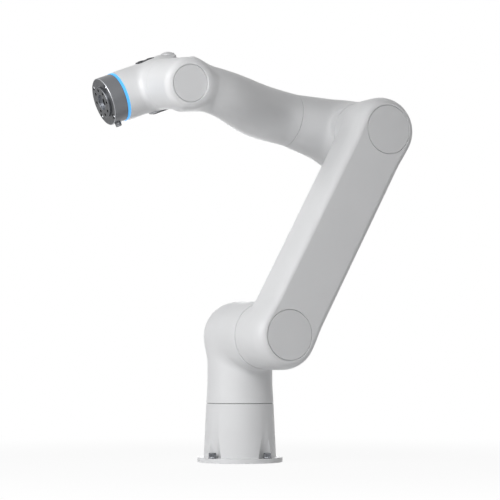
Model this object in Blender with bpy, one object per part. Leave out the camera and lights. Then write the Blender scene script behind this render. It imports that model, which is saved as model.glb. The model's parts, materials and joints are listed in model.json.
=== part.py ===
"""Six-axis robot arm with a swan-neck forearm, standing on a round foot.

Metres, +Z up. The origin is the centre of the foot's underside, +X points to the tool side and
+Y to the side that carries the upper arm. The arm stands in the pose of REST_ANGLES.
"""

import math

import bmesh
import bpy
import numpy as np
from mathutils import Matrix, Vector

# Clearances
GAP = 0.0003
SEAM = 0.0010
EDGE = 0.0008
WALL = 0.007

# Driving sizes of the arm
SHOULDER_HEIGHT = 0.2615
UPPER_ARM_LENGTH = 0.4884
FOREARM_LENGTH = 0.4600
SHOULDER_OFFSET = 0.1050
FOREARM_OFFSET = 0.0362
FOREARM_RISE = 0.0080
WRIST_OFFSET = 0.0700
TOOL_REACH = 0.1240

# Rest pose in degrees: lean of the upper arm, lift of the forearm, roll of the forearm, wrist bend
REST_ANGLES = {"arm_lean": 28.96, "forearm_lift": 9.6, "forearm_roll": -7.2, "wrist_bend": 31.0}

# Foot and base column
FOOT_RADIUS = 0.0890
FOOT_THICKNESS = 0.0100
COLUMN_FOOT_RADIUS = 0.0755
COLUMN_TOP_RADIUS = 0.0703
BASE_HEIGHT = 0.1217
BASE_CAVITY_RADIUS = 0.0570
BASE_TURN = 61.8
COVER_RADIUS = 0.0600
COVER_THICKNESS = 0.0030
BASE_BOLTS = 4
BOLT_CIRCLE_RADIUS = 0.0800
BOLT_RADIUS = 0.0040
BOLT_HEAD_RADIUS = 0.0065
BOLT_HEAD_HEIGHT = 0.0080
WASHER_RADIUS = 0.0085
WASHER_THICKNESS = 0.0015
POCKET_DISTANCE = 0.0880
POCKET_RADIUS = 0.0235
POCKET_TOP = 0.0700
POCKET_LEAN = 0.0095
SPOT_FACE = 0.0005

# Connector panel at the back of the foot
PANEL_DISTANCE = 0.0660
PANEL_WIDTH = 0.0480
PANEL_HEIGHT = 0.0500
PANEL_THICKNESS = 0.0030
PANEL_BOTTOM = 0.0180
SOCKET_RADIUS = 0.0080
SOCKET_HOLE = 0.0055
SOCKET_LENGTH = 0.0080
SOCKET_DEPTH = 0.0050

# Housings
TURRET_COLUMN_RADIUS = 0.0680
TURRET_BARREL_RADIUS = 0.0718
TURRET_SEAM_RADIUS = 0.0690
TURRET_BACK = 0.0550
TURRET_BACK_ROUND = 0.0390
TURRET_FLARE = 0.0300
TURRET_BLEND = 0.0120
ARM_RADIUS = 0.0700
ARM_WAIST = 0.0668
ARM_TAPER_LENGTH = 0.0600
ARM_NECK_RADIUS = 0.0678
ARM_INNER_FACE = 0.1130
ARM_OUTER_FACE = 0.2115
ARM_OUTER_ROUND = (0.0180, 0.0340)
ARM_INNER_ROUND = (0.0260, 0.0340)
ELBOW_BARREL_RADIUS = 0.0715
ELBOW_SEAM_RADIUS = 0.0688
ELBOW_BACK = 0.0240
ELBOW_BACK_ROUND = 0.0500
HORN_RADIUS = 0.0742
HORN_OFFSET = 0.0300
HORN_BLEND = 0.0200
FOREARM_START = 0.1390
FOREARM_RADIUS = 0.0560
NECK_SHIFT = 0.1225
NECK_RUN_IN = 0.0110
NECK_RUN_OUT = 0.0600
NECK_FROM = FOREARM_START + NECK_RUN_IN
NECK_TO = FOREARM_LENGTH - NECK_RUN_OUT
NECK_HALF_DEPTH = 0.0420
NECK_HALF_HEIGHT = 0.0465
NECK_RISE = 0.0035
NECK_SAG = 0.0035
DRUM_RADIUS = 0.0512
DRUM_FACE = 0.1695
DRUM_ROUND = 0.0135
DRUM_BLEND = 0.0300
WRIST_RADIUS = 0.0508
WRIST_FRONT_RADIUS = 0.0501
WRIST_BACK = 0.0600
WRIST_BACK_ROUND = 0.0210
WRIST_FRONT = 0.0840
TIGHT_BLEND = 0.0120
BEND_ROOM = 0.0130

# Joint modules: bore of the housing before the joint, seat in the housing after it
LARGE_BORE = 0.0540
SMALL_BORE = 0.0450
SEAT_PER_BORE = 0.0460 / 0.0540
BORE_DEPTH_PER_BORE = 0.0660 / 0.0540
SEAT_DEPTH = 0.0125

# Joint module of the large size: radii, and heights below the seam
HOLLOW_RADIUS = 0.0090
SHAFT_RADIUS = 0.0120
STATOR_RADIUS = 0.0315
WINDING_RADIUS = 0.0420
TEETH_RADIUS = 0.0410
BOARD_HOLE_RADIUS = 0.0145
CUP_WALL = 0.0022
SHAFT_END = 0.0640
BOARD_BACK = 0.0600
BOARD_FRONT = 0.0575
WINDING_BACK = 0.0540
STATOR_BACK = 0.0500
ROTOR_BACK = 0.0490
ROTOR_FRONT = 0.0270
STATOR_FRONT = 0.0260
WINDING_FRONT = 0.0220
SPLINE_BACK = 0.0180
CUP_BACK = 0.0175
PLUG_BACK = 0.0155
GEAR_FRONT = 0.0030

# Round covers
CAP_RADIUS = 0.0512
WRIST_CAP_RADIUS = 0.0370
CAP_THICKNESS = 0.0030
CAP_STEP = 0.0050

# Tool end
LIGHT_RING_WIDTH = 0.0045
FLANGE_RADIUS = 0.0490
FLANGE_RIM = 0.0462
FLANGE_RIM_BACK = 0.0020
FLANGE_RECESS = 0.0065
HUB_RADIUS = 0.0315
HUB_BORE_RADIUS = 0.01575
HUB_BORE_DEPTH = 0.0060
CABLE_HOLE_RADIUS = 0.0100
TOOL_HOLE_CIRCLE = 0.0250
TOOL_HOLE_RADIUS = 0.0030
TOOL_HOLE_DEPTH = 0.0100
TOOL_HOLES = 8
FLANGE_SCREWS = 4
SCREW_CIRCLE = 0.0428
COUNTERBORE_RADIUS = 0.0068
COUNTERBORE_DEPTH = 0.0020
TOOL_SOCKET_RADIUS = 0.0065
TOOL_SOCKET_REACH = 0.0565
TOOL_SOCKET_PLACE = 0.1070
TOOL_SOCKET_TURN = 12.0

# Pads and keys on the wrist
PAD_THICKNESS = 0.0037
PAD_RECESS = 0.0010
PAD_BOTTOM = WRIST_RADIUS - PAD_RECESS + GAP
PANEL_PAD = (-0.0127, 0.0268)
PANEL_PAD_SPREAD = 15.0
COVER_PAD = (-0.0430, -0.0180)
COVER_PAD_SPREAD = 20.0
SWITCH_PAD = (-0.0230, 0.0230)
SWITCH_PAD_SPREAD = 24.0
SWITCH_THICKNESS = 0.0048
SWITCH_BORDER = 0.0040
KEY_RADIUS = 0.0060
KEY_PLACES = {"guide_button": -0.0030, "point_button": 0.0170}
KEY_RISE = 0.0015
KEY_TRAVEL = 0.0010

# Mesh fineness
ROUND = 28
INNER = 12
SMALL = 12
POCKET_FACETS = 20
SWING_STEPS = 9
SIDE_STEPS = 3
BEND_STEPS = 8
MARCH_STEPS = 80
HALVINGS = 24
REACH = 0.2500
SHARP_ANGLE = math.radians(35)
WELD_DISTANCE = 0.00002

WHITE_SHELL = ((0.80, 0.81, 0.82), 0.0, 0.42)
CAP_GREY = ((0.72, 0.73, 0.74), 0.0, 0.45)
PALE_GREY = ((0.62, 0.63, 0.65), 0.0, 0.50)
DARK_PLASTIC = ((0.045, 0.048, 0.052), 0.0, 0.45)
RUBBER = ((0.10, 0.10, 0.105), 0.0, 0.75)
DARK_METAL = ((0.11, 0.115, 0.125), 0.9, 0.42)
STEEL = ((0.60, 0.61, 0.63), 1.0, 0.30)
GEAR_STEEL = ((0.42, 0.43, 0.45), 1.0, 0.35)
COPPER = ((0.72, 0.36, 0.18), 0.9, 0.40)
BOARD_GREEN = ((0.03, 0.20, 0.09), 0.0, 0.55)
BLUE_LIGHT = ((0.08, 0.45, 0.95), 0.0, 0.30)


def clear_scene():
    for obj in list(bpy.data.objects):
        bpy.data.objects.remove(obj)


def material(name, look):
    color, metallic, roughness = look
    made = bpy.data.materials.new(name)
    made.use_nodes = True
    shader = made.node_tree.nodes["Principled BSDF"]
    shader.inputs["Base Color"].default_value = (*color, 1.0)
    shader.inputs["Metallic"].default_value = metallic
    shader.inputs["Roughness"].default_value = roughness
    made.diffuse_color = (*color, 1.0)
    return made


def mesh_object(name, bm, parent, place=Matrix()):
    """An object from a bmesh, under a parent and at a place measured in the parent's frame."""
    bmesh.ops.recalc_face_normals(bm, faces=bm.faces)
    mesh = bpy.data.meshes.new(name)
    bm.to_mesh(mesh)
    bm.free()
    mesh.shade_smooth()
    mesh.set_sharp_from_angle(angle=SHARP_ANGLE)
    obj = bpy.data.objects.new(name, mesh)
    bpy.context.scene.collection.objects.link(obj)
    obj.parent = parent
    obj.matrix_local = place
    return obj


def piece(name, bm, parent, look, place=Matrix()):
    obj = mesh_object(name, bm, parent, place)
    obj.data.materials.append(material(name + "_finish", look))
    return obj


def boolean(target, bm, operation, place=Matrix()):
    """Cuts from a piece, or joins to it, a helper shape that the render leaves out."""
    label = f"{target.name}_{operation.lower()}_{len(target.modifiers) + 1}"
    helper = mesh_object(label, bm, target.parent, place)
    helper.hide_render = True
    helper.display_type = "WIRE"
    modifier = target.modifiers.new(label, "BOOLEAN")
    modifier.operation = operation
    modifier.solver = "EXACT"
    modifier.object = helper
    weld = target.modifiers.new(label + "_weld", "WELD")
    weld.merge_threshold = WELD_DISTANCE


def cut(target, bm, place=Matrix()):
    boolean(target, bm, "DIFFERENCE", place)


def join(target, bm, place=Matrix()):
    boolean(target, bm, "UNION", place)


def frame_empty(name, parent, location, axis, degrees):
    empty = bpy.data.objects.new(name, None)
    bpy.context.scene.collection.objects.link(empty)
    empty.parent = parent
    empty.matrix_local = Matrix.Translation(location) @ Matrix.Rotation(math.radians(degrees), 4, axis)
    return empty


# Matrices that lay a shape turned about Z along another axis
ALONG_X = Matrix.Rotation(math.radians(90), 4, "Y")
ALONG_Y = Matrix.Rotation(math.radians(-90), 4, "X")
AGAINST_Y = Matrix.Rotation(math.radians(90), 4, "X")


def bridge(bm, first, second):
    """Faces between two rings. One may have half as many points as the other, or be a single point."""
    count = max(len(first), len(second))
    if count == 1:
        return
    for i in range(count):
        after = (i + 1) % count
        corners = [
            first[i * len(first) // count],
            first[after * len(first) // count],
            second[after * len(second) // count],
            second[i * len(second) // count],
        ]
        bm.faces.new(dict.fromkeys(corners))


def ring_of(bm, points):
    return [bm.verts.new(tuple(point)) for point in points]


def turned(profile, segments, place=Matrix(), bm=None):
    """Turns a closed profile of (radius, height) about Z."""
    bm = bm or bmesh.new()
    rings = []
    for radius, height in profile:
        if radius == 0:
            rings.append(ring_of(bm, [place @ Vector((0, 0, height))]))
            continue
        turn = [2 * math.pi * i / segments for i in range(segments)]
        points = [place @ Vector((radius * math.cos(a), radius * math.sin(a), height)) for a in turn]
        rings.append(ring_of(bm, points))
    for first, second in zip(rings, rings[1:] + rings[:1]):
        bridge(bm, first, second)
    return bm


def cylinder(radius, bottom, top, segments=ROUND, place=Matrix(), bm=None):
    return turned([(0, bottom), (radius, bottom), (radius, top), (0, top)], segments, place, bm)


def tube(inner, outer, bottom, top, segments=SMALL):
    return turned([(inner, bottom), (outer, bottom), (outer, top), (inner, top)], segments)


def box(size, centre, turn=Matrix()):
    bm = bmesh.new()
    place = turn @ Matrix.Translation(centre) @ Matrix.Diagonal((*size, 1.0))
    bmesh.ops.create_cube(bm, size=1.0, matrix=place)
    return bm


def around(count, radius, start=0.0):
    """Places on a circle about Z, each turned to face outwards."""
    for i in range(count):
        angle = math.radians(start) + 2 * math.pi * i / count
        yield Matrix.Rotation(angle, 4, "Z") @ Matrix.Translation((radius, 0, 0))


# Signed distances of the forms that the cast housings blend together


def smooth_union(first, second, blend):
    share = np.clip(0.5 + 0.5 * (second - first) / blend, 0, 1)
    return second + (first - second) * share - blend * share * (1 - share)


def capsule(points, start, end, radius):
    """Distance from a round-ended rod."""
    along = np.subtract(end, start)
    share = np.clip((points - start) @ along / (along @ along), 0, 1)
    return np.linalg.norm(points - start - share[..., None] * along, axis=-1) - radius


def taper(points, start, end, first, last):
    """Distance from a straight horn, whose radius goes from the first value to the last and on."""
    along = end - start
    share = np.maximum((points - start) @ along / (along @ along), 0)
    spread = np.linalg.norm(points - start - share[..., None] * along, axis=-1)
    return spread - first - share * (last - first)


def barrel(points, centre, axis, radius, back, front, edge):
    """Distance from a cylinder along an axis, from back to front, whose end edges are rounded."""
    offset = points - centre
    height = offset @ axis
    spread = np.linalg.norm(offset - height[..., None] * axis, axis=-1)
    middle, half = (front + back) / 2, (front - back) / 2
    side = spread - radius + edge
    end = np.abs(height - middle) - half + edge
    outside = np.hypot(np.maximum(side, 0), np.maximum(end, 0))
    return np.minimum(np.maximum(side, end), 0) + outside - edge


X = np.array([1.0, 0, 0])
Y = np.array([0, 1.0, 0])
Z = np.array([0, 0, 1.0])


def directions(frame, segments):
    _, across, up = frame
    turn = 2 * np.pi * np.arange(segments) / segments
    return np.cos(turn)[:, None] * across + np.sin(turn)[:, None] * up


def circle(frame, radius, segments=ROUND):
    return frame[0] + radius * directions(frame, segments)


def section(shape, frame, segments=ROUND):
    """The outline of a shape in the plane of a frame, found along rays from the frame's centre."""
    rays = directions(frame, segments)
    steps = np.linspace(0, REACH, MARCH_STEPS)
    outside = shape(frame[0] + steps[:, None, None] * rays) > 0
    first = outside.argmax(axis=0)
    near, far = steps[first - 1], steps[first]
    for _ in range(HALVINGS):
        middle = (near + far) / 2
        beyond = shape(frame[0] + middle[:, None] * rays) > 0
        near, far = np.where(beyond, near, middle), np.where(beyond, middle, far)
    return frame[0] + far[:, None] * rays


def hollowed(shape):
    """The inner skin of a shape, one wall inside it."""

    def skin(points):
        return shape(points) + WALL

    return skin


def swing(pivot, first, last, across, steps=SWING_STEPS):
    """Frames whose planes turn by a quarter about a line through the pivot, from one centre to another."""
    level = [np.dot(centre - pivot, across) * across for centre in (first, last)]
    arms = [centre - pivot - lift for centre, lift in zip((first, last), level)]
    reach = [np.linalg.norm(arm) for arm in arms]
    for share in np.linspace(0, 1, steps):
        angle = share * np.pi / 2
        up = np.cos(angle) * arms[0] / reach[0] + np.sin(angle) * arms[1] / reach[1]
        length = reach[0] + share * (reach[1] - reach[0])
        lift = level[0] + share * (level[1] - level[0])
        yield pivot + lift + length * up, across, up


def shell(outer, inner):
    """A closed body from the rings of its outer skin and of its inner skin, both in the same order."""
    bm = bmesh.new()
    skins = [[ring_of(bm, ring) for ring in rings] for rings in (outer, inner)]
    for rings in skins:
        for first, second in zip(rings, rings[1:]):
            bridge(bm, first, second)
    for end in (0, -1):
        bridge(bm, skins[0][end], skins[1][end])
    return bm


# Base


def base_radius(height):
    share = (height - FOOT_THICKNESS) / (BASE_HEIGHT - FOOT_THICKNESS)
    return COLUMN_FOOT_RADIUS + share * (COLUMN_TOP_RADIUS - COLUMN_FOOT_RADIUS)


def base_housing(root):
    bore_floor = BASE_HEIGHT - LARGE_BORE * BORE_DEPTH_PER_BORE
    cover_room = COVER_RADIUS + GAP
    cover_top = COVER_THICKNESS + GAP
    profile = [
        (0, 0),
        (FOOT_RADIUS - EDGE, 0),
        (FOOT_RADIUS, EDGE),
        (FOOT_RADIUS, FOOT_THICKNESS - EDGE),
        (FOOT_RADIUS - EDGE, FOOT_THICKNESS),
        (COLUMN_FOOT_RADIUS + 2 * EDGE, FOOT_THICKNESS),
        (COLUMN_FOOT_RADIUS, FOOT_THICKNESS + 2 * EDGE),
        (COLUMN_TOP_RADIUS, BASE_HEIGHT - EDGE),
        (COLUMN_TOP_RADIUS - EDGE, BASE_HEIGHT),
        (0, BASE_HEIGHT),
    ]
    base = piece("base_housing", turned(profile, ROUND), root, WHITE_SHELL)
    hollow = [
        (0, cover_top - EDGE),
        (BASE_CAVITY_RADIUS, cover_top - EDGE),
        (BASE_CAVITY_RADIUS, bore_floor - EDGE),
        (LARGE_BORE, bore_floor),
        (LARGE_BORE, BASE_HEIGHT + EDGE),
        (0, BASE_HEIGHT + EDGE),
    ]
    cut(base, turned(hollow, INNER))
    cut(base, cylinder(cover_room, -EDGE, cover_top))
    pockets = bmesh.new()
    holes = bmesh.new()
    floor = FOOT_THICKNESS - SPOT_FACE
    lean = Matrix.Shear("XY", 4, (POCKET_LEAN / (POCKET_TOP - floor), 0))
    for place in around(BASE_BOLTS, POCKET_DISTANCE, BASE_TURN + 180 / BASE_BOLTS):
        upright = place @ Matrix.Translation((0, 0, floor)) @ lean
        cylinder(POCKET_RADIUS, 0, POCKET_TOP - floor, POCKET_FACETS, upright, pockets)
    for place in around(BASE_BOLTS, BOLT_CIRCLE_RADIUS, BASE_TURN + 180 / BASE_BOLTS):
        cylinder(BOLT_RADIUS + GAP, -EDGE, FOOT_THICKNESS + EDGE, SMALL, place, holes)
    cut(base, pockets)
    cut(base, holes)
    size = (PANEL_DISTANCE, PANEL_WIDTH + 2 * GAP, PANEL_HEIGHT + 2 * GAP)
    centre = (PANEL_DISTANCE * 1.5, 0, PANEL_BOTTOM + PANEL_HEIGHT / 2)
    cut(base, box(size, centre, back_of_base()))


def back_of_base():
    return Matrix.Rotation(math.radians(BASE_TURN + 180), 4, "Z")


def base_cover(root):
    bm = cylinder(COVER_RADIUS, 0, COVER_THICKNESS)
    piece("base_cover", bm, root, PALE_GREY)


def base_bolts(root):
    """Four socket-head bolts, each with its washer as one piece, through the foot plate."""
    seat = FOOT_THICKNESS - SPOT_FACE + GAP
    neck = seat + WASHER_THICKNESS
    top = neck + BOLT_HEAD_HEIGHT
    profile = [
        (0, 2 * EDGE),
        (BOLT_RADIUS, 2 * EDGE),
        (BOLT_RADIUS, seat),
        (WASHER_RADIUS, seat),
        (WASHER_RADIUS, neck),
        (BOLT_HEAD_RADIUS, neck),
        (BOLT_HEAD_RADIUS, top - EDGE / 2),
        (BOLT_HEAD_RADIUS - EDGE / 2, top),
        (0, top),
    ]
    for number, place in enumerate(around(BASE_BOLTS, BOLT_CIRCLE_RADIUS, BASE_TURN + 180 / BASE_BOLTS), 1):
        bolt = piece(f"base_bolt_{number}", turned(profile, SMALL), root, STEEL, place)
        cut(bolt, cylinder(BOLT_HEAD_RADIUS / 2, top - BOLT_HEAD_HEIGHT / 2, top + EDGE, 6), place)


def connector_panel(root):
    """A plate with four round sockets: supply, network, safety and general signals."""
    size = (PANEL_THICKNESS, PANEL_WIDTH, PANEL_HEIGHT)
    back = PANEL_DISTANCE + GAP
    middle = PANEL_BOTTOM + PANEL_HEIGHT / 2
    plate = box(size, (back + PANEL_THICKNESS / 2, 0, middle), back_of_base())
    panel = piece("connector_panel", plate, root, PALE_GREY)
    profile = [
        (0, 0),
        (SOCKET_RADIUS, 0),
        (SOCKET_RADIUS, SOCKET_LENGTH),
        (SOCKET_HOLE, SOCKET_LENGTH),
        (SOCKET_HOLE, SOCKET_LENGTH - SOCKET_DEPTH),
        (0, SOCKET_LENGTH - SOCKET_DEPTH),
    ]
    sockets = bmesh.new()
    for side in (-1, 1):
        for level in (-1, 1):
            corner = (back + PANEL_THICKNESS / 2, side * PANEL_WIDTH / 4, middle + level * PANEL_HEIGHT / 4)
            turned(profile, SMALL, back_of_base() @ Matrix.Translation(corner) @ ALONG_X, sockets)
    join(panel, sockets)


# Turret


def turret_shape(points):
    shoulder = np.array([0, 0, SHOULDER_HEIGHT])
    column = capsule(points, -Z * REACH, shoulder, TURRET_COLUMN_RADIUS)
    cross = barrel(points, shoulder, Y, TURRET_BARREL_RADIUS, -TURRET_BACK, REACH, TURRET_BACK_ROUND)
    return smooth_union(column, cross, TURRET_BLEND)


def turret_housing(axis_1):
    def upright(height):
        return Z * height, X, -Y

    def sideways(offset):
        return Z * SHOULDER_HEIGHT + Y * offset, X, Z

    foot = BASE_HEIGHT + SEAM
    face = SHOULDER_OFFSET - SEAM / 2
    under_barrel = SHOULDER_HEIGHT - TURRET_BARREL_RADIUS
    pivot = np.array([0, TURRET_COLUMN_RADIUS + BEND_ROOM, under_barrel - BEND_ROOM])
    turn_from = Z * pivot[2]
    turn_to = np.array([0, pivot[1], SHOULDER_HEIGHT])
    outer = [
        circle(upright(foot), COLUMN_TOP_RADIUS - EDGE),
        circle(upright(foot + EDGE), COLUMN_TOP_RADIUS),
        section(turret_shape, upright(foot + TURRET_FLARE)),
    ]
    outer += [section(turret_shape, frame) for frame in swing(pivot, turn_from, turn_to, X)]
    outer += [
        circle(sideways(face - EDGE), TURRET_SEAM_RADIUS),
        circle(sideways(face), TURRET_SEAM_RADIUS - EDGE),
    ]
    seat = LARGE_BORE * SEAT_PER_BORE
    bore_floor = face - LARGE_BORE * BORE_DEPTH_PER_BORE
    inner = [
        circle(upright(foot), seat, INNER),
        circle(upright(foot + SEAT_DEPTH), seat, INNER),
        circle(upright(foot + SEAT_DEPTH + EDGE), TURRET_COLUMN_RADIUS - WALL, INNER),
    ]
    bend = list(swing(pivot, turn_from, turn_to, X))
    inner += [section(hollowed(turret_shape), frame, INNER) for frame in bend[:-3:2]]
    inner += [
        circle(sideways(bore_floor), LARGE_BORE, INNER),
        circle(sideways(face), LARGE_BORE, INNER),
    ]
    piece("turret_housing", shell(outer, inner), axis_1, WHITE_SHELL)


# Upper arm


def stadium(y, inset):
    """A ring round the arm: two half circles about the joint axes, joined by slightly hollow sides."""
    radius = ARM_RADIUS - inset
    half = ROUND // 2
    side = []
    for i in range(1, SIDE_STEPS + 1):
        share = i / SIDE_STEPS
        width = ARM_WAIST - inset + (ARM_RADIUS - ARM_WAIST) * (1 + math.cos(math.pi * share)) / 2
        side.append((width, share * ARM_TAPER_LENGTH))
    side += [(width, UPPER_ARM_LENGTH - height) for width, height in reversed(side)]
    points = []
    for end, start in ((UPPER_ARM_LENGTH, 0), (0, math.pi)):
        for i in range(half + 1):
            angle = start + math.pi * i / half
            points.append((radius * math.cos(angle), y, end + radius * math.sin(angle)))
        turn = -math.cos(start)
        for width, height in side:
            points.append((turn * width, y, UPPER_ARM_LENGTH - height if start == 0 else height))
    return points


def rounded_rings(near, far, near_round, far_round, steps=5):
    """Stadium rings from one face to the other, both edges rounded by a quarter ellipse."""
    quarter = [math.pi / 2 * i / steps for i in range(steps + 1)]
    rings = []
    for angle in quarter:
        inset, depth = near_round
        rings.append(stadium(near + depth * (1 - math.cos(angle)), inset * (1 - math.sin(angle))))
    for angle in reversed(quarter):
        inset, depth = far_round
        rings.append(stadium(far - depth * (1 - math.cos(angle)), inset * (1 - math.sin(angle))))
    return rings


def solid_of_rings(rings):
    bm = bmesh.new()
    rows = [ring_of(bm, ring) for ring in rings]
    for first, second in zip(rows, rows[1:]):
        bridge(bm, first, second)
    bm.faces.new(rows[0])
    bm.faces.new(rows[-1])
    return bm


def upper_arm_housing(axis_2):
    rings = rounded_rings(ARM_INNER_FACE, ARM_OUTER_FACE, ARM_INNER_ROUND, ARM_OUTER_ROUND)
    arm = piece("upper_arm_housing", solid_of_rings(rings), axis_2, WHITE_SHELL)
    face = SHOULDER_OFFSET + SEAM / 2
    shoulder = ALONG_Y
    elbow = Matrix.Translation((0, 0, UPPER_ARM_LENGTH)) @ ALONG_Y
    neck_end = ARM_INNER_FACE + ARM_INNER_ROUND[1]
    neck = [
        (0, face),
        (ARM_NECK_RADIUS - EDGE, face),
        (ARM_NECK_RADIUS, face + EDGE),
        (ARM_RADIUS - EDGE, neck_end),
        (0, neck_end),
    ]
    for place in (shoulder, elbow):
        join(arm, turned(neck, ROUND, place))
    cut(arm, solid_of_rings([
        stadium(ARM_INNER_FACE + WALL, ARM_INNER_ROUND[0]),
        stadium(neck_end, WALL),
        stadium(ARM_OUTER_FACE - ARM_OUTER_ROUND[1], WALL),
        stadium(ARM_OUTER_FACE - WALL, ARM_OUTER_ROUND[0]),
    ]))
    bore_floor = face + LARGE_BORE * BORE_DEPTH_PER_BORE
    boss_radius = LARGE_BORE + WALL / 2
    join(arm, cylinder(boss_radius, ARM_INNER_FACE, bore_floor, ROUND, elbow))
    cut(arm, cylinder(LARGE_BORE, face - EDGE, bore_floor + EDGE, INNER, elbow))
    seat = LARGE_BORE * SEAT_PER_BORE
    seat_cut = [
        (0, face - EDGE),
        (seat, face - EDGE),
        (seat, face + SEAT_DEPTH),
        (seat - WALL, face + SEAT_DEPTH),
        (seat - WALL, face + 3 * SEAT_DEPTH),
        (0, face + 3 * SEAT_DEPTH),
    ]
    cut(arm, turned(seat_cut, INNER, shoulder))
    for place in (shoulder, elbow):
        cut(arm, cap_opening(CAP_RADIUS, ARM_OUTER_FACE - 2 * WALL, ARM_OUTER_FACE, place))


def cap_opening(radius, floor, face, place):
    """The stepped hole that a round cover drops into, from a floor in the cavity to the outer face."""
    step = face - CAP_THICKNESS - GAP
    profile = [
        (0, floor),
        (radius - CAP_STEP, floor),
        (radius - CAP_STEP, step),
        (radius + GAP, step),
        (radius + GAP, face + WALL),
        (0, face + WALL),
    ]
    return turned(profile, ROUND, place)


def round_cap(name, parent, radius, face, location):
    """A cover whose rim rests on the step of its opening."""
    profile = [
        (0, face - CAP_THICKNESS),
        (radius, face - CAP_THICKNESS),
        (radius, face - EDGE / 2),
        (radius - EDGE / 2, face),
        (0, face),
    ]
    piece(name, turned(profile, ROUND), parent, CAP_GREY, Matrix.Translation(location) @ ALONG_Y)


# Elbow


def elbow_shape(points):
    start = np.array([0, HORN_OFFSET, FOREARM_RISE])
    end = np.array([FOREARM_START, FOREARM_OFFSET, FOREARM_RISE])
    cross = barrel(points, 0 * Y, Y, ELBOW_BARREL_RADIUS, -ELBOW_BACK, REACH, ELBOW_BACK_ROUND)
    horn = taper(points, start, end, HORN_RADIUS, FOREARM_RADIUS)
    return smooth_union(cross, horn, HORN_BLEND)


def elbow_housing(axis_3):
    def sideways(offset):
        return Y * offset, Z, -X

    def forward(offset):
        return np.array([offset, FOREARM_OFFSET, FOREARM_RISE]), Z, -Y

    face = SHOULDER_OFFSET - SEAM / 2
    straight = 5 * EDGE
    pivot = np.array([FOREARM_START - straight, face - straight, 0])
    turn_from = Y * pivot[1]
    turn_to = np.array([pivot[0], FOREARM_OFFSET, FOREARM_RISE])
    outer = [
        circle(sideways(face), ELBOW_SEAM_RADIUS - EDGE),
        circle(sideways(face - EDGE), ELBOW_SEAM_RADIUS),
    ]
    outer += [section(elbow_shape, frame) for frame in swing(pivot, turn_from, turn_to, Z)]
    outer += [
        circle(forward(FOREARM_START - EDGE), FOREARM_RADIUS),
        circle(forward(FOREARM_START), FOREARM_RADIUS - EDGE),
    ]
    seat = LARGE_BORE * SEAT_PER_BORE
    bore_floor = FOREARM_START - SMALL_BORE * BORE_DEPTH_PER_BORE
    inner = [
        circle(sideways(face), seat, INNER),
        circle(sideways(face - SEAT_DEPTH), seat, INNER),
    ]
    bend = list(swing(pivot, turn_from, turn_to, Z))
    inner += [section(hollowed(elbow_shape), frame, INNER) for frame in bend[1:-3:2]]
    inner += [
        circle(forward(bore_floor), SMALL_BORE, INNER),
        circle(forward(FOREARM_START), SMALL_BORE, INNER),
    ]
    piece("elbow_housing", shell(outer, inner), axis_3, WHITE_SHELL)


# Swan-neck forearm


def neck_share(x):
    """How far along its sideways shift the centre line is, from 0 to 1, with level ends."""
    share = np.clip((x - NECK_FROM) / (NECK_TO - NECK_FROM), 0, 1)
    return share * share * (3 - 2 * share)


def neck_slope(x):
    share = np.clip((x - NECK_FROM) / (NECK_TO - NECK_FROM), 0, 1)
    return NECK_SHIFT * 6 * share * (1 - share) / (NECK_TO - NECK_FROM)


def neck_frame(x):
    """A plane square to the swan neck's centre line."""
    along = X + Y * neck_slope(x)
    along = along / np.linalg.norm(along)
    return X * x + Y * NECK_SHIFT * neck_share(x), Z, np.cross(Z, along)


def forearm_shape(points):
    x = np.minimum(points[..., 0], NECK_TO)
    share = neck_share(x)
    lean = 1 / np.hypot(1, neck_slope(x))
    depth = FOREARM_RADIUS + share * (NECK_HALF_DEPTH - FOREARM_RADIUS)
    height = FOREARM_RADIUS + share**3 * (NECK_HALF_HEIGHT - FOREARM_RADIUS)
    side = (points[..., 1] - NECK_SHIFT * share) * lean
    level = points[..., 2] + NECK_SAG * 4 * share * (1 - share) - NECK_RISE * share * share
    past = np.maximum(points[..., 0] - NECK_TO, 0)
    neck = (np.sqrt((side / depth) ** 2 + (level / height) ** 2) - 1) * depth
    neck = np.maximum(neck, past - depth)
    drum = barrel(points, X * FOREARM_LENGTH, Y, DRUM_RADIUS, -REACH, DRUM_FACE, DRUM_ROUND)
    beside = np.clip((points[..., 1] - WRIST_OFFSET) / (NECK_SHIFT - WRIST_OFFSET), 0, 1)
    return smooth_union(neck, drum, TIGHT_BLEND + beside * (DRUM_BLEND - TIGHT_BLEND))


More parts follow.
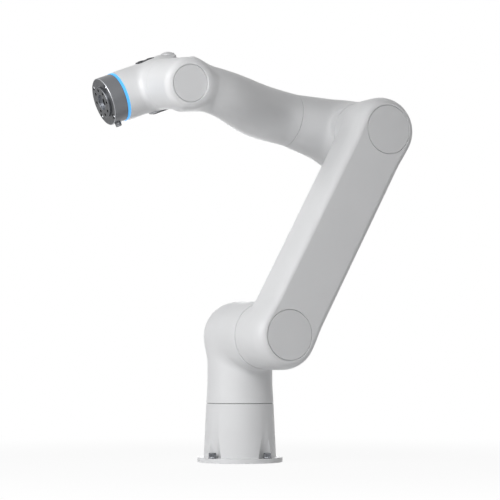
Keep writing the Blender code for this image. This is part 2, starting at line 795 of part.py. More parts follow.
def forearm_housing(axis_4):
    def forward(offset):
        return X * offset, Z, Y

    def sideways(offset):
        return X * FOREARM_LENGTH + Y * offset, Z, X

    start = FOREARM_START + SEAM
    face = WRIST_OFFSET + SEAM / 2
    straight = 2 * EDGE
    pivot = np.array([FOREARM_LENGTH - DRUM_RADIUS - BEND_ROOM, face + straight, 0])
    turn_from = np.array([pivot[0], NECK_SHIFT * neck_share(pivot[0]), 0])
    turn_to = np.array([FOREARM_LENGTH, pivot[1], 0])
    bend = np.linspace(NECK_FROM, pivot[0] - BEND_ROOM, BEND_STEPS)
    outer = [
        circle(forward(start), FOREARM_RADIUS - EDGE),
        circle(forward(start + EDGE), FOREARM_RADIUS),
    ]
    outer += [section(forearm_shape, neck_frame(x)) for x in bend]
    turning = swing(pivot, turn_from, turn_to, Z, 2 * SWING_STEPS)
    outer += [section(forearm_shape, frame) for frame in turning]
    outer += [
        circle(sideways(face + EDGE), DRUM_RADIUS),
        circle(sideways(face), DRUM_RADIUS - EDGE),
    ]
    seat = SMALL_BORE * SEAT_PER_BORE
    bore_floor = face + SMALL_BORE * BORE_DEPTH_PER_BORE
    inner = [
        circle(forward(start), seat, INNER),
        circle(forward(start + SEAT_DEPTH), seat, INNER),
    ]
    inner += [section(hollowed(forearm_shape), neck_frame(x), INNER) for x in bend[::2]]
    inner += [
        circle(sideways(bore_floor), SMALL_BORE, INNER),
        circle(sideways(face), SMALL_BORE, INNER),
    ]
    forearm = piece("forearm_housing", shell(outer, inner), axis_4, WHITE_SHELL)
    drum = Matrix.Translation((FOREARM_LENGTH, 0, 0)) @ ALONG_Y
    cut(forearm, cap_opening(WRIST_CAP_RADIUS, bore_floor - WALL, DRUM_FACE, drum))


# Wrist


def wrist_shape(points):
    cross = barrel(points, 0 * X, X, WRIST_RADIUS, -WRIST_BACK, REACH, WRIST_BACK_ROUND)
    neck = capsule(points, 0 * Y, Y * REACH, DRUM_RADIUS)
    return smooth_union(cross, neck, TIGHT_BLEND)


def wrist_housing(axis_5):
    def sideways(offset):
        return Y * offset, Z, -X

    def forward(offset):
        return X * offset, Z, -Y

    face = WRIST_OFFSET - SEAM / 2
    front = WRIST_FRONT
    pivot = np.array([DRUM_RADIUS + BEND_ROOM, WRIST_RADIUS + BEND_ROOM, 0])
    outer = [
        circle(sideways(face), DRUM_RADIUS - EDGE),
        circle(sideways(face - EDGE), DRUM_RADIUS),
    ]
    outer += [section(wrist_shape, frame) for frame in swing(pivot, Y * pivot[1], X * pivot[0], Z)]
    outer += [circle(forward(front), WRIST_FRONT_RADIUS)]
    seat = SMALL_BORE * SEAT_PER_BORE
    bore_floor = front - SMALL_BORE * BORE_DEPTH_PER_BORE
    inner = [
        circle(sideways(face), seat, INNER),
        circle(sideways(face - SEAT_DEPTH), seat, INNER),
        circle(forward(bore_floor), SMALL_BORE, INNER),
        circle(forward(front), SMALL_BORE, INNER),
    ]
    wrist = piece("wrist_housing", shell(outer, inner), axis_5, WHITE_SHELL)
    floor = PAD_BOTTOM - GAP
    for span, spread, middle in (
        (PANEL_PAD, PANEL_PAD_SPREAD, 90),
        (COVER_PAD, COVER_PAD_SPREAD, 90),
        (SWITCH_PAD, SWITCH_PAD_SPREAD, -90),
    ):
        cut(wrist, saddle(span, spread, floor, 2 * WALL, middle, -GAP))


def saddle(span, spread, bottom, thickness, middle, border=0.0):
    """A plate bent round the wrist barrel, centred on an angle about X, with a border left off it."""
    inner = bottom
    outer = bottom + thickness
    half = math.radians(spread) - border / outer
    back, front = span[0] + border, span[1] - border
    steps = 8
    bm = bmesh.new()
    rings = []
    for i in range(steps + 1):
        angle = math.radians(middle) - half + 2 * half * i / steps
        out = Vector((0, math.cos(angle), math.sin(angle)))
        corners = ((back, inner), (front, inner), (front, outer), (back, outer))
        rings.append(ring_of(bm, [Vector((x, 0, 0)) + out * radius for x, radius in corners]))
    for first, second in zip(rings, rings[1:]):
        bridge(bm, first, second)
    bm.faces.new(rings[0])
    bm.faces.new(rings[-1])
    return bm


def button_panel(axis_5):
    pad = piece(
        "button_panel",
        saddle(PANEL_PAD, PANEL_PAD_SPREAD, PAD_BOTTOM, PAD_THICKNESS, 90),
        axis_5,
        DARK_PLASTIC,
    )
    holes = bmesh.new()
    for x in KEY_PLACES.values():
        place = Matrix.Translation((x, 0, 0))
        cylinder(KEY_RADIUS + GAP, PAD_BOTTOM - WALL, PAD_BOTTOM + WALL, SMALL, place, holes)
    cut(pad, holes)


def teach_buttons(axis_5):
    """Two keys in the pad, each on a slide that points to the middle of the wrist."""
    top = PAD_BOTTOM + PAD_THICKNESS + KEY_RISE
    bottom = PAD_BOTTOM + KEY_TRAVEL + GAP
    for name, x in KEY_PLACES.items():
        profile = [
            (0, bottom),
            (KEY_RADIUS, bottom),
            (KEY_RADIUS, top - EDGE),
            (KEY_RADIUS - EDGE, top),
            (0, top),
        ]
        origin = Matrix.Translation((x, 0, 0))
        piece(name, turned(profile, SMALL), axis_5, PALE_GREY, origin)


def wrist_cover(axis_5):
    bm = saddle(COVER_PAD, COVER_PAD_SPREAD, PAD_BOTTOM, PAD_THICKNESS, 90)
    piece("wrist_cover", bm, axis_5, PALE_GREY)


def enable_switch(axis_5):
    bezel = piece(
        "switch_bezel",
        saddle(SWITCH_PAD, SWITCH_PAD_SPREAD, PAD_BOTTOM, SWITCH_THICKNESS, -90),
        axis_5,
        PALE_GREY,
    )
    hole = saddle(SWITCH_PAD, SWITCH_PAD_SPREAD, PAD_BOTTOM - WALL, 2 * WALL, -90, SWITCH_BORDER)
    cut(bezel, hole)
    bottom = PAD_BOTTOM + KEY_TRAVEL + GAP
    key = saddle(
        SWITCH_PAD, SWITCH_PAD_SPREAD, bottom, SWITCH_THICKNESS, -90, SWITCH_BORDER + 2 * GAP
    )
    piece("enable_switch", key, axis_5, DARK_PLASTIC)


# Tool end


def light_ring(axis_5):
    back = WRIST_FRONT + GAP
    profile = [
        (SMALL_BORE, back),
        (WRIST_FRONT_RADIUS, back),
        (WRIST_FRONT_RADIUS, back + LIGHT_RING_WIDTH),
        (SMALL_BORE, back + LIGHT_RING_WIDTH),
    ]
    piece("light_ring", turned(profile, ROUND), axis_5, BLUE_LIGHT, ALONG_X)


def flange_back():
    return WRIST_FRONT + LIGHT_RING_WIDTH + SEAM


def screw_floor():
    return TOOL_REACH - FLANGE_RECESS - COUNTERBORE_DEPTH


def tool_flange(axis_6):
    back = flange_back()
    rim = TOOL_REACH - FLANGE_RIM_BACK
    floor = TOOL_REACH - FLANGE_RECESS
    seat = SMALL_BORE * SEAT_PER_BORE
    seat_floor = back + SEAT_DEPTH
    profile = [
        (CABLE_HOLE_RADIUS, back),
        (FLANGE_RADIUS - EDGE, back),
        (FLANGE_RADIUS, back + EDGE),
        (FLANGE_RADIUS, rim - 3 * EDGE),
        (FLANGE_RADIUS - 2 * EDGE, rim),
        (FLANGE_RIM, rim),
        (FLANGE_RIM - EDGE, floor),
        (HUB_RADIUS, floor),
        (HUB_RADIUS, TOOL_REACH - EDGE),
        (HUB_RADIUS - EDGE, TOOL_REACH),
        (HUB_BORE_RADIUS, TOOL_REACH),
        (HUB_BORE_RADIUS, TOOL_REACH - HUB_BORE_DEPTH),
        (CABLE_HOLE_RADIUS, TOOL_REACH - HUB_BORE_DEPTH),
    ]
    flange = piece("tool_flange", turned(profile, ROUND), axis_6, DARK_METAL, ALONG_X)
    cut(flange, cylinder(seat, back - EDGE, seat_floor, INNER, ALONG_X))
    holes = bmesh.new()
    for place in around(TOOL_HOLES, TOOL_HOLE_CIRCLE):
        depth = TOOL_REACH - TOOL_HOLE_DEPTH
        cylinder(TOOL_HOLE_RADIUS, depth, TOOL_REACH + EDGE, 8, ALONG_X @ place, holes)
    cut(flange, holes)
    pockets = bmesh.new()
    for place in around(FLANGE_SCREWS, SCREW_CIRCLE, 180 / FLANGE_SCREWS):
        cylinder(COUNTERBORE_RADIUS, screw_floor(), TOOL_REACH, SMALL, ALONG_X @ place, pockets)
    cut(flange, pockets)
    depth = TOOL_SOCKET_RADIUS + GAP
    cut(flange, cylinder(depth, FLANGE_RIM - 2 * EDGE, TOOL_SOCKET_REACH, SMALL, tool_socket_place()))


def tool_socket_place():
    """The tool socket points down, a little towards the arm's outer side."""
    turn = Matrix.Rotation(math.radians(180 + TOOL_SOCKET_TURN), 4, "X")
    return Matrix.Translation((TOOL_SOCKET_PLACE, 0, 0)) @ turn


def tool_connector(axis_6):
    bottom = FLANGE_RIM - 2 * EDGE + GAP
    top = TOOL_SOCKET_REACH
    inner = TOOL_SOCKET_RADIUS - 2 * EDGE
    profile = [
        (0, bottom),
        (TOOL_SOCKET_RADIUS, bottom),
        (TOOL_SOCKET_RADIUS, top - 4 * EDGE),
        (TOOL_SOCKET_RADIUS - EDGE / 2, top - 4 * EDGE),
        (TOOL_SOCKET_RADIUS - EDGE / 2, top),
        (inner, top),
        (inner, top - 6 * EDGE),
        (0, top - 6 * EDGE),
    ]
    piece("tool_connector", turned(profile, SMALL), axis_6, DARK_METAL, tool_socket_place())


# Joint modules


def inside(radius, facets):
    """The largest radius that turns freely in a hole with that many flat facets."""
    return radius * math.cos(math.pi / facets) - GAP


def module_profiles(bore):
    """Profiles of the parts of one joint module. Height 0 is the seam and minus is inside the bore."""

    def scaled(*profile):
        return [(radius, -depth * unit) for radius, depth in profile]

    unit = bore / LARGE_BORE
    fit = bore - GAP
    seat = bore * SEAT_PER_BORE - GAP
    teeth = TEETH_RADIUS * unit
    cup = inside(teeth, INNER)
    hub = cup - CUP_WALL * unit
    plug = inside(hub, INNER)
    hollow = HOLLOW_RADIUS * unit
    shaft = SHAFT_RADIUS * unit
    stator = STATOR_RADIUS * unit
    rotor = inside(stator, INNER)
    winding = WINDING_RADIUS * unit
    board_hole = BOARD_HOLE_RADIUS * unit
    output = SEAM + 2 * GAP
    clear = -GEAR_FRONT * unit - GAP
    motor = scaled(
        (stator, STATOR_BACK),
        (winding, WINDING_BACK),
        (fit, STATOR_BACK),
        (fit, STATOR_FRONT),
        (winding, WINDING_FRONT),
        (stator, STATOR_FRONT),
    )
    turning = scaled(
        (hollow, SHAFT_END),
        (shaft, SHAFT_END),
        (shaft, ROTOR_BACK),
        (rotor, ROTOR_BACK),
        (rotor, ROTOR_FRONT),
        (shaft, ROTOR_FRONT),
        (shaft, PLUG_BACK),
        (plug, PLUG_BACK),
    ) + [(plug, clear), (hollow, clear)]
    flexible = scaled((hub, CUP_BACK), (cup, CUP_BACK)) + [
        (cup, output),
        (seat, output),
        (seat, SEAT_DEPTH - 2 * EDGE),
        (shaft, SEAT_DEPTH - 2 * EDGE),
    ] + scaled((shaft, GEAR_FRONT), (hub, GEAR_FRONT))
    spline = scaled((teeth, SPLINE_BACK), (fit, SPLINE_BACK), (fit, GEAR_FRONT), (teeth, GEAR_FRONT))
    board = scaled(
        (board_hole, BOARD_BACK), (fit, BOARD_BACK), (fit, BOARD_FRONT), (board_hole, BOARD_FRONT)
    )
    return {
        "motor_stator": (motor, COPPER),
        "circular_spline": (spline, GEAR_STEEL),
        "drive_board": (board, BOARD_GREEN),
        "rotor_shaft": (turning, STEEL),
        "flexspline": (flexible, GEAR_STEEL),
    }


def joint_module(number, bore, seam_radius, fixed, place, moving, across):
    """The hollow-shaft motor, strain-wave gear, board and seal of one joint.

    The two places are the seam as seen from the link before the joint and from the link after
    it. The flexspline's flange is bolted to the link after it, so it hangs on that link's empty.
    """
    for label, (profile, look) in module_profiles(bore).items():
        parent, spot = (moving, across) if label == "flexspline" else (fixed, place)
        piece(f"j{number}_{label}", turned(profile, INNER), parent, look, spot)
    lip = seam_radius - 2 * EDGE
    ring = tube(max(lip - 4 * EDGE, bore + GAP), lip, GAP, SEAM - GAP, INNER)
    piece(f"j{number}_seal", ring, fixed, RUBBER, place)


def joint_modules(root, axes):
    at = Matrix.Translation
    before = SHOULDER_OFFSET - SEAM / 2
    beyond = SHOULDER_OFFSET + SEAM / 2
    wrist = WRIST_OFFSET + SEAM / 2
    base = at((0, 0, BASE_HEIGHT))
    shoulder = at((0, before, SHOULDER_HEIGHT)) @ ALONG_Y
    elbow = at((0, beyond, UPPER_ARM_LENGTH)) @ AGAINST_Y
    forearm = at((FOREARM_START, FOREARM_OFFSET, FOREARM_RISE)) @ ALONG_X
    drum = at((FOREARM_LENGTH, wrist, 0)) @ AGAINST_Y
    tool = at((WRIST_FRONT + LIGHT_RING_WIDTH, 0, 0)) @ ALONG_X
    joint_module(1, LARGE_BORE, COLUMN_TOP_RADIUS, root, base, axes[0], base)
    joint_module(2, LARGE_BORE, ARM_NECK_RADIUS, axes[0], shoulder, axes[1], at((0, before, 0)) @ ALONG_Y)
    joint_module(3, LARGE_BORE, ARM_NECK_RADIUS, axes[1], elbow, axes[2], at((0, beyond, 0)) @ AGAINST_Y)
    joint_module(4, SMALL_BORE, FOREARM_RADIUS, axes[2], forearm, axes[3], at((FOREARM_START, 0, 0)) @ ALONG_X)
    joint_module(5, SMALL_BORE, DRUM_RADIUS, axes[3], drum, axes[4], at((0, wrist, 0)) @ AGAINST_Y)
    joint_module(6, SMALL_BORE, FLANGE_RADIUS, axes[4], tool, axes[5], tool)


def build():
    clear_scene()
    root = frame_empty("arm_root", None, (0, 0, 0), "Z", 0)
    axis_1 = frame_empty("axis_1", root, (0, 0, 0), "Z", 0)
    axis_2 = frame_empty("axis_2", axis_1, (0, 0, SHOULDER_HEIGHT), "Y", -REST_ANGLES["arm_lean"])
    lift = REST_ANGLES["arm_lean"] - REST_ANGLES["forearm_lift"]
    axis_3 = frame_empty("axis_3", axis_2, (0, 0, UPPER_ARM_LENGTH), "Y", lift)
    roll = REST_ANGLES["forearm_roll"]
    axis_4 = frame_empty("axis_4", axis_3, (0, FOREARM_OFFSET, FOREARM_RISE), "X", roll)
    axis_5 = frame_empty("axis_5", axis_4, (FOREARM_LENGTH, 0, 0), "Y", REST_ANGLES["wrist_bend"])
    axis_6 = frame_empty("axis_6", axis_5, (0, 0, 0), "X", 0)

    base_housing(root)
    base_cover(root)
    base_bolts(root)
    connector_panel(root)
    turret_housing(axis_1)
    upper_arm_housing(axis_2)
    round_cap("shoulder_cap", axis_2, CAP_RADIUS, ARM_OUTER_FACE, (0, 0, 0))
    round_cap("elbow_cap", axis_2, CAP_RADIUS, ARM_OUTER_FACE, (0, 0, UPPER_ARM_LENGTH))
    elbow_housing(axis_3)
    forearm_housing(axis_4)
    round_cap("wrist_cap", axis_4, WRIST_CAP_RADIUS, DRUM_FACE, (FOREARM_LENGTH, 0, 0))
    wrist_housing(axis_5)
    button_panel(axis_5)
    teach_buttons(axis_5)
    wrist_cover(axis_5)
    enable_switch(axis_5)
    light_ring(axis_5)
    tool_flange(axis_6)
    tool_connector(axis_6)
    joint_modules(root, (axis_1, axis_2, axis_3, axis_4, axis_5, axis_6))


build()
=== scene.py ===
import json
from math import atan2, cos, pi, radians, sin

import bmesh
import bpy
import numpy as np
from mathutils import Matrix, Vector


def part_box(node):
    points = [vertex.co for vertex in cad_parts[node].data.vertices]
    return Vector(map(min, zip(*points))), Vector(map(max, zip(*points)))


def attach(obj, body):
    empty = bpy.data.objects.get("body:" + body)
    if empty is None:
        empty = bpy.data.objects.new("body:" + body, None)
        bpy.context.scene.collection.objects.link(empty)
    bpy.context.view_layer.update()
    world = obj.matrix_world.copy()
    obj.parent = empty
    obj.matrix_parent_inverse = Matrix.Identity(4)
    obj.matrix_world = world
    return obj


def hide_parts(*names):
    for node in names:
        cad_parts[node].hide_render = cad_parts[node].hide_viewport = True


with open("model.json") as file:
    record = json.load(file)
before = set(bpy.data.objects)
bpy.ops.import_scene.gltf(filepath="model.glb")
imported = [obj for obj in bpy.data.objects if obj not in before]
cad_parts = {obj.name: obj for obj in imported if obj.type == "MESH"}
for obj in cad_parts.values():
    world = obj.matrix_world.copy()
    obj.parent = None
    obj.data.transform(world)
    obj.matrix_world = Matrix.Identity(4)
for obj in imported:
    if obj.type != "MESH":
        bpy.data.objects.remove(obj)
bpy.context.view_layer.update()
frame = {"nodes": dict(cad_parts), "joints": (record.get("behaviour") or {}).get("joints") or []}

# Clearances and edges, in metres
GAP = 0.0003
SEAM = 0.001
EDGE = 0.0008
LIP = 0.0007
BASE_LIP = 0.0022
SEAL_INSET = 0.0007
WALL = 0.007

# Foot and base column
FOOT_RADIUS = 0.089
FOOT_THICKNESS = 0.01
COLUMN_FOOT_RADIUS = 0.0755
COLUMN_TOP_RADIUS = 0.0703
BASE_CAVITY_RADIUS = 0.057
BASE_TURN = 61.8
COVER_RADIUS = 0.06
COVER_THICKNESS = 0.003
BASE_BOLTS = 4
BOLT_CIRCLE_RADIUS = 0.08
BOLT_RADIUS = 0.004
BOLT_HEAD_RADIUS = 0.0078
BOLT_HEAD_HEIGHT = 0.0098
KNURLS = 18
KNURL_DEPTH = 0.001
WASHER_RADIUS = 0.0088
WASHER_THICKNESS = 0.0015
POCKET_DISTANCE = 0.088
POCKET_RADIUS = 0.0235
POCKET_TOP = 0.07
POCKET_LEAN = 0.0095
SPOT_FACE = 0.0005

# Connector panel
PANEL_DISTANCE = 0.066
PANEL_WIDTH = 0.048
PANEL_HEIGHT = 0.05
PANEL_THICKNESS = 0.003
PANEL_BOTTOM = 0.018
SOCKET_RADIUS = 0.008
SOCKET_HOLE = 0.0055
SOCKET_LENGTH = 0.008
SOCKET_DEPTH = 0.005
PIN_RADIUS = 0.0005
PIN_CIRCLE = 0.003
PINS_IN_RING = 7

# Housings
SHOULDER_OFFSET = 0.105
FOREARM_OFFSET = 0.0362
FOREARM_RISE = 0.008
WRIST_OFFSET = 0.07
TURRET_COLUMN_RADIUS = 0.068
TURRET_BARREL_RADIUS = 0.0718
TURRET_SEAM_RADIUS = 0.069
TURRET_BACK = 0.055
TURRET_BACK_ROUND = 0.039
TURRET_BLEND = 0.012
ARM_RADIUS = 0.07
ARM_WAIST = 0.0668
ARM_TAPER_LENGTH = 0.06
ARM_NECK_RADIUS = 0.0678
ARM_INNER_FACE = 0.113
ARM_OUTER_ROUND = (0.018, 0.034)
ARM_INNER_ROUND = (0.026, 0.034)
ELBOW_BARREL_RADIUS = 0.0715
ELBOW_SEAM_RADIUS = 0.0688
ELBOW_BACK = 0.024
ELBOW_BACK_ROUND = 0.05
HORN_RADIUS = 0.0742
HORN_OFFSET = 0.03
HORN_BLEND = 0.02
FOREARM_START = 0.139
FOREARM_RADIUS = 0.056
NECK_SHIFT = 0.1225
NECK_RUN_IN = 0.011
NECK_RUN_OUT = 0.06
NECK_HALF_DEPTH = 0.042
NECK_HALF_HEIGHT = 0.0465
NECK_RISE = 0.0035
NECK_SAG = 0.0035
DRUM_RADIUS = 0.0512
DRUM_FACE = 0.1695
DRUM_ROUND = 0.0135
DRUM_BLEND = 0.03
WRIST_RADIUS = 0.0508
WRIST_FRONT_RADIUS = 0.0501
WRIST_BACK = 0.06
WRIST_BACK_ROUND = 0.021
WRIST_FRONT = 0.084
TIGHT_BLEND = 0.012
BEND_ROOM = 0.013
LARGE_BORE = 0.054
SMALL_BORE = 0.045
SEAT_PER_BORE = 0.046 / 0.054
BORE_DEPTH_PER_BORE = 0.066 / 0.054
SEAT_DEPTH = 0.0125
LARGE_SEAT, SMALL_SEAT = (bore * SEAT_PER_BORE for bore in (LARGE_BORE, SMALL_BORE))
LARGE_DEPTH, SMALL_DEPTH = (bore * BORE_DEPTH_PER_BORE for bore in (LARGE_BORE, SMALL_BORE))

# Round covers
CAP_RADIUS = 0.0512
WRIST_CAP_RADIUS = 0.037
CAP_THICKNESS = 0.003
CAP_STEP = 0.005
CAP_GROOVE = 0.0009

# Tool end
TOOL_REACH = 0.124
LIGHT_RING_WIDTH = 0.0045
FLANGE_RADIUS = 0.049
FLANGE_RIM = 0.0462
FLANGE_RIM_BACK = 0.0042
HUB_RADIUS = 0.0315
HUB_BORE_RADIUS = 0.01575
HUB_BORE_DEPTH = 0.0055
CABLE_HOLE_RADIUS = 0.0075
TOOL_HOLE_CIRCLE = 0.025
TOOL_HOLE_RADIUS = 0.003
TOOL_HOLE_DEPTH = 0.01
TOOL_HOLES = 8
FLANGE_SCREWS = 4
SCREW_CIRCLE = 0.0428
SCREW_HEAD_RADIUS = 0.003
SCREW_HEAD_HEIGHT = 0.003
SCREW_RIM_SHARE = 0.6
COUNTERBORE_RADIUS = 0.0053
COUNTERBORE_DEPTH = 0.0042
RIM_CHAMFER = 0.0012
# Painted light on the tool flange: a painted highlight on the rim chamfer, painted highlights on the hub's
# side, edge and bore, and painted shade on the front face and in the tool holes, whose band reaches a little
# past their radius.
HOLE_SHADE = 1.1
RIM_PAINTED_HIGHLIGHT = (0.42, 0.43, 0.45)
HOLE_PAINTED_SHADE = (0.015, 0.015, 0.016)
EDGE_PAINTED_HIGHLIGHT = (0.32, 0.33, 0.35)
FACE_PAINTED_SHADE = (0.085, 0.088, 0.094)
GROOVE_RADIUS = 0.033
GROOVE_DEPTH = 0.0006
TOOL_SOCKET_RADIUS = 0.0065
TOOL_SOCKET_FLOOR = FLANGE_RIM - 2 * EDGE
TOOL_SOCKET_REACH = 0.0565
TOOL_SOCKET_PLACE = 0.107
TOOL_SOCKET_TURN = 12.0

# Pads and keys on the wrist. A pad is its start, its end, half its spread and its middle, in degrees.
PAD_THICKNESS = 0.0037
PAD_BOTTOM = WRIST_RADIUS - 0.001 + GAP
PAD_SQUARENESS = 3.2
PAD_POINTS = 64
PAD_UNDER_SHARES = (0.02, 0.35, 0.7)
PAD_TOP_SHARES = (0.85, 0.65, 0.45, 0.25, 0.02)
PANEL_PAD = (-0.0127, 0.0268, 15.0, 90)
PANEL_ROUNDING = 0.0012
LID_PAD = (-0.0575, -0.015, 31.0, 90)
LID_SINK = 0.009
LID_DROOP = 0.006
LID_ROUNDING = 0.0022
LID_CROWN = 0.0003
DOME_PAD = (-0.0572, -0.033, 17.0, 90)
DOME_HEIGHT = 0.0022
DOME_CROWN = 0.0022
SWITCH_PAD = (-0.019, 0.028, 24.0, -90)
SWITCH_ROUNDING = 0.001
SWITCH_THICKNESS = 0.0058
SWITCH_BORDER = 0.004
KEY_RADIUS = 0.006
KEY_PLACES = {"guide": -0.003, "point": 0.017}
KEY_RISE = 0.0006
KEY_TRAVEL = 0.001
KEY_DISH = 0.0007
KEY_RIM_SHARE = 0.7

# Fineness of the meshes. An inner skin follows some of the outer skin's sections.
SEGMENTS = 96
FINE = 32
PIN_SEGMENTS = 12
HEX = 6
KNURL_ROWS = 6
ARC = 6
SWING_STEPS = 25
SIDE_STEPS = 12
NECK_STEPS = 28
ROUND_STEPS = 14
TURRET_INNER = slice(None, -9, 4)
ELBOW_INNER = slice(4, -16, 6)
NECK_INNER = slice(1, -2, 3)
MARCH_STEPS = 80
HALVINGS = 24
REACH = 0.2500
SHARP_ANGLE = radians(32)
WELD_DISTANCE = 0.00002

X = np.array([1.0, 0, 0])
Y = np.array([0, 1.0, 0])
Z = np.array([0, 0, 1.0])

moved = Matrix.Translation


def turned_by(degrees, axis):
    return Matrix.Rotation(radians(degrees), 4, axis)


ALONG_X = turned_by(90, "Y")
ALONG_Y = turned_by(-90, "X")
AGAINST_Y = turned_by(90, "X")


# Links of the arm, read from the joints of the frame


def joint_of(name):
    found = next(joint for joint in frame["joints"] if joint["name"] == name)
    return Vector(found["pos_m"]), Vector(found["axis"]).normalized()


def link_frame(origin, along, across):
    """A matrix with its X axis and Y axis as given."""
    up = along.cross(across).normalized()
    columns = Matrix((along, across, up)).transposed()
    return moved(origin) @ columns.to_4x4()


SHOULDER, SIDEWAYS = joint_of("shoulder_swing")
ELBOW = joint_of("elbow_swing")[0]
ROLL, FORWARD = joint_of("forearm_roll")
WRIST, WRIST_AXIS = joint_of("wrist_swing")
TOOL_AXIS = joint_of("tool_turn")[1]
ARM_AXIS = (ELBOW - SHOULDER).normalized()

SHOULDER_HEIGHT = SHOULDER.z
UPPER_ARM_LENGTH = (ELBOW - SHOULDER).length
FOREARM_LENGTH = (WRIST - ROLL).length
BASE_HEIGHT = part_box("base_housing")[1].z
ARM_OUTER_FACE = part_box("upper_arm_housing")[1].y
NECK_FROM = FOREARM_START + NECK_RUN_IN
NECK_TO = FOREARM_LENGTH - NECK_RUN_OUT

LINKS = {
    "base": Matrix(),
    "turret": Matrix(),
    "upper_arm": link_frame(SHOULDER, SIDEWAYS.cross(ARM_AXIS), SIDEWAYS),
    "elbow": link_frame(ELBOW, FORWARD, SIDEWAYS),
    "forearm": link_frame(ROLL, FORWARD, WRIST_AXIS),
    "wrist": link_frame(WRIST, TOOL_AXIS, WRIST_AXIS),
}
for follower in ("tool", "guide_key", "point_key", "enable_key"):
    LINKS[follower] = LINKS["wrist"]


# Materials

NOISE_DARK = 0.3
NOISE_LIGHT = 0.7
MIX_COLORS = slice(6, 8)


def add_node(tree, kind, *sources, **values):
    """A new node. The sources feed its first sockets, and the values set its sockets or attributes."""
    made = tree.nodes.new("ShaderNode" + kind)
    for source, socket in zip(sources, made.inputs):
        tree.links.new(source, socket)
    for name, value in values.items():
        socket = name.replace("_", " ").title()
        if socket in made.inputs:
            made.inputs[socket].default_value = value
        else:
            setattr(made, name, value)
    return made


class Shader:
    """A Principled material, with short ways to add the nodes that vary it."""

    def __init__(self, name, color, metallic=0.0, roughness=0.5):
        self.material = bpy.data.materials.new(name)
        self.material.use_nodes = True
        self.tree = self.material.node_tree
        self.principled = self.tree.nodes["Principled BSDF"]
        self.color = color
        self.set("Base Color", (*color, 1.0))
        self.set("Metallic", metallic)
        self.set("Roughness", roughness)
        self.place = self.node("TexCoord").outputs["Object"]

    def set(self, socket, value):
        self.principled.inputs[socket].default_value = value

    def node(self, kind, *sources, **values):
        return add_node(self.tree, kind, *sources, **values)

    def drive(self, socket, source):
        self.tree.links.new(source, self.principled.inputs[socket])
        return self

    def math(self, operation, *sources):
        return self.node("Math", *sources, operation=operation).outputs[0]

    def noise(self, scale, detail=3.0, stretch=(1, 1, 1)):
        mapping = self.node("Mapping", self.place, scale=stretch)
        return self.node("TexNoise", mapping.outputs["Vector"], scale=scale, detail=detail).outputs["Fac"]

    def rings(self, scale, axis, distortion):
        """Grooves of a lathe tool round one axis."""
        turned = {"wave_type": "RINGS", "rings_direction": axis}
        return self.node("TexWave", self.place, scale=scale, distortion=distortion, **turned).outputs["Fac"]

    def cells(self, scale):
        return self.node("TexVoronoi", self.place, scale=scale).outputs["Distance"]

    def spread(self, source, low, high):
        """A value from low to high as the source goes from its dark to its light end."""
        ends = {"from_min": NOISE_DARK, "from_max": NOISE_LIGHT, "to_min": low, "to_max": high}
        return self.node("MapRange", source, **ends).outputs["Result"]

    def mix(self, share, first, second):
        """Base colour between two colours. The first may also be a socket."""
        made = self.node("Mix", share, data_type="RGBA", blend_type="MIX")
        for socket, color in zip(made.inputs[MIX_COLORS], (first, second)):
            if isinstance(color, tuple):
                socket.default_value = (*color, 1.0)
            else:
                self.tree.links.new(color, socket)
        return self.drive("Base Color", made.outputs[2])

    def tint(self, source, low, high):
        """Base colour times a factor that the source moves from low to high."""
        ends = [tuple(min(c * k, 1.0) for c in self.color) for k in (low, high)]
        return self.mix(self.spread(source, 0.0, 1.0), *ends)

    def over(self, mask, color):
        """Another base colour where the mask is 1."""
        return self.mix(mask, self.principled.inputs["Base Color"].links[0].from_socket, color)

    def beyond(self, source, limit):
        """1 where the source is above the limit, and 0 elsewhere."""
        made = self.node("Math", source, operation="GREATER_THAN")
        made.inputs[1].default_value = limit
        return made.outputs[0]

    def between(self, source, low, high):
        """1 where the source is above low and not above high."""
        return self.math("SUBTRACT", self.beyond(source, low), self.beyond(source, high))

    def from_x_axis(self):
        """The distance from the object's X axis."""
        flat = self.node("VectorMath", self.place, operation="MULTIPLY")
        flat.inputs[1].default_value = (0, 1, 1)
        return self.node("VectorMath", flat.outputs[0], operation="LENGTH").outputs["Value"]

    def rough(self, source, low, high):
        return self.drive("Roughness", self.spread(source, low, high))

    def bump(self, source, distance, strength=0.5):
        made = self.node("Bump", strength=strength, distance=distance)
        self.tree.links.new(source, made.inputs["Height"])
        return self.drive("Normal", made.outputs["Normal"])


STROKES = ("noise", 900.0, 2.0, (1.0, 1.0, 0.1))
CROSS_STROKES = ("noise", 900.0, 2.0, (0.1, 1.0, 1.0))
RINGS = ("rings", 400.0, "X", 0.6)
WIRES = ("noise", 900.0, 1.0, (1.0, 1.0, 0.15))
TRACKS = ("cells", 350.0)

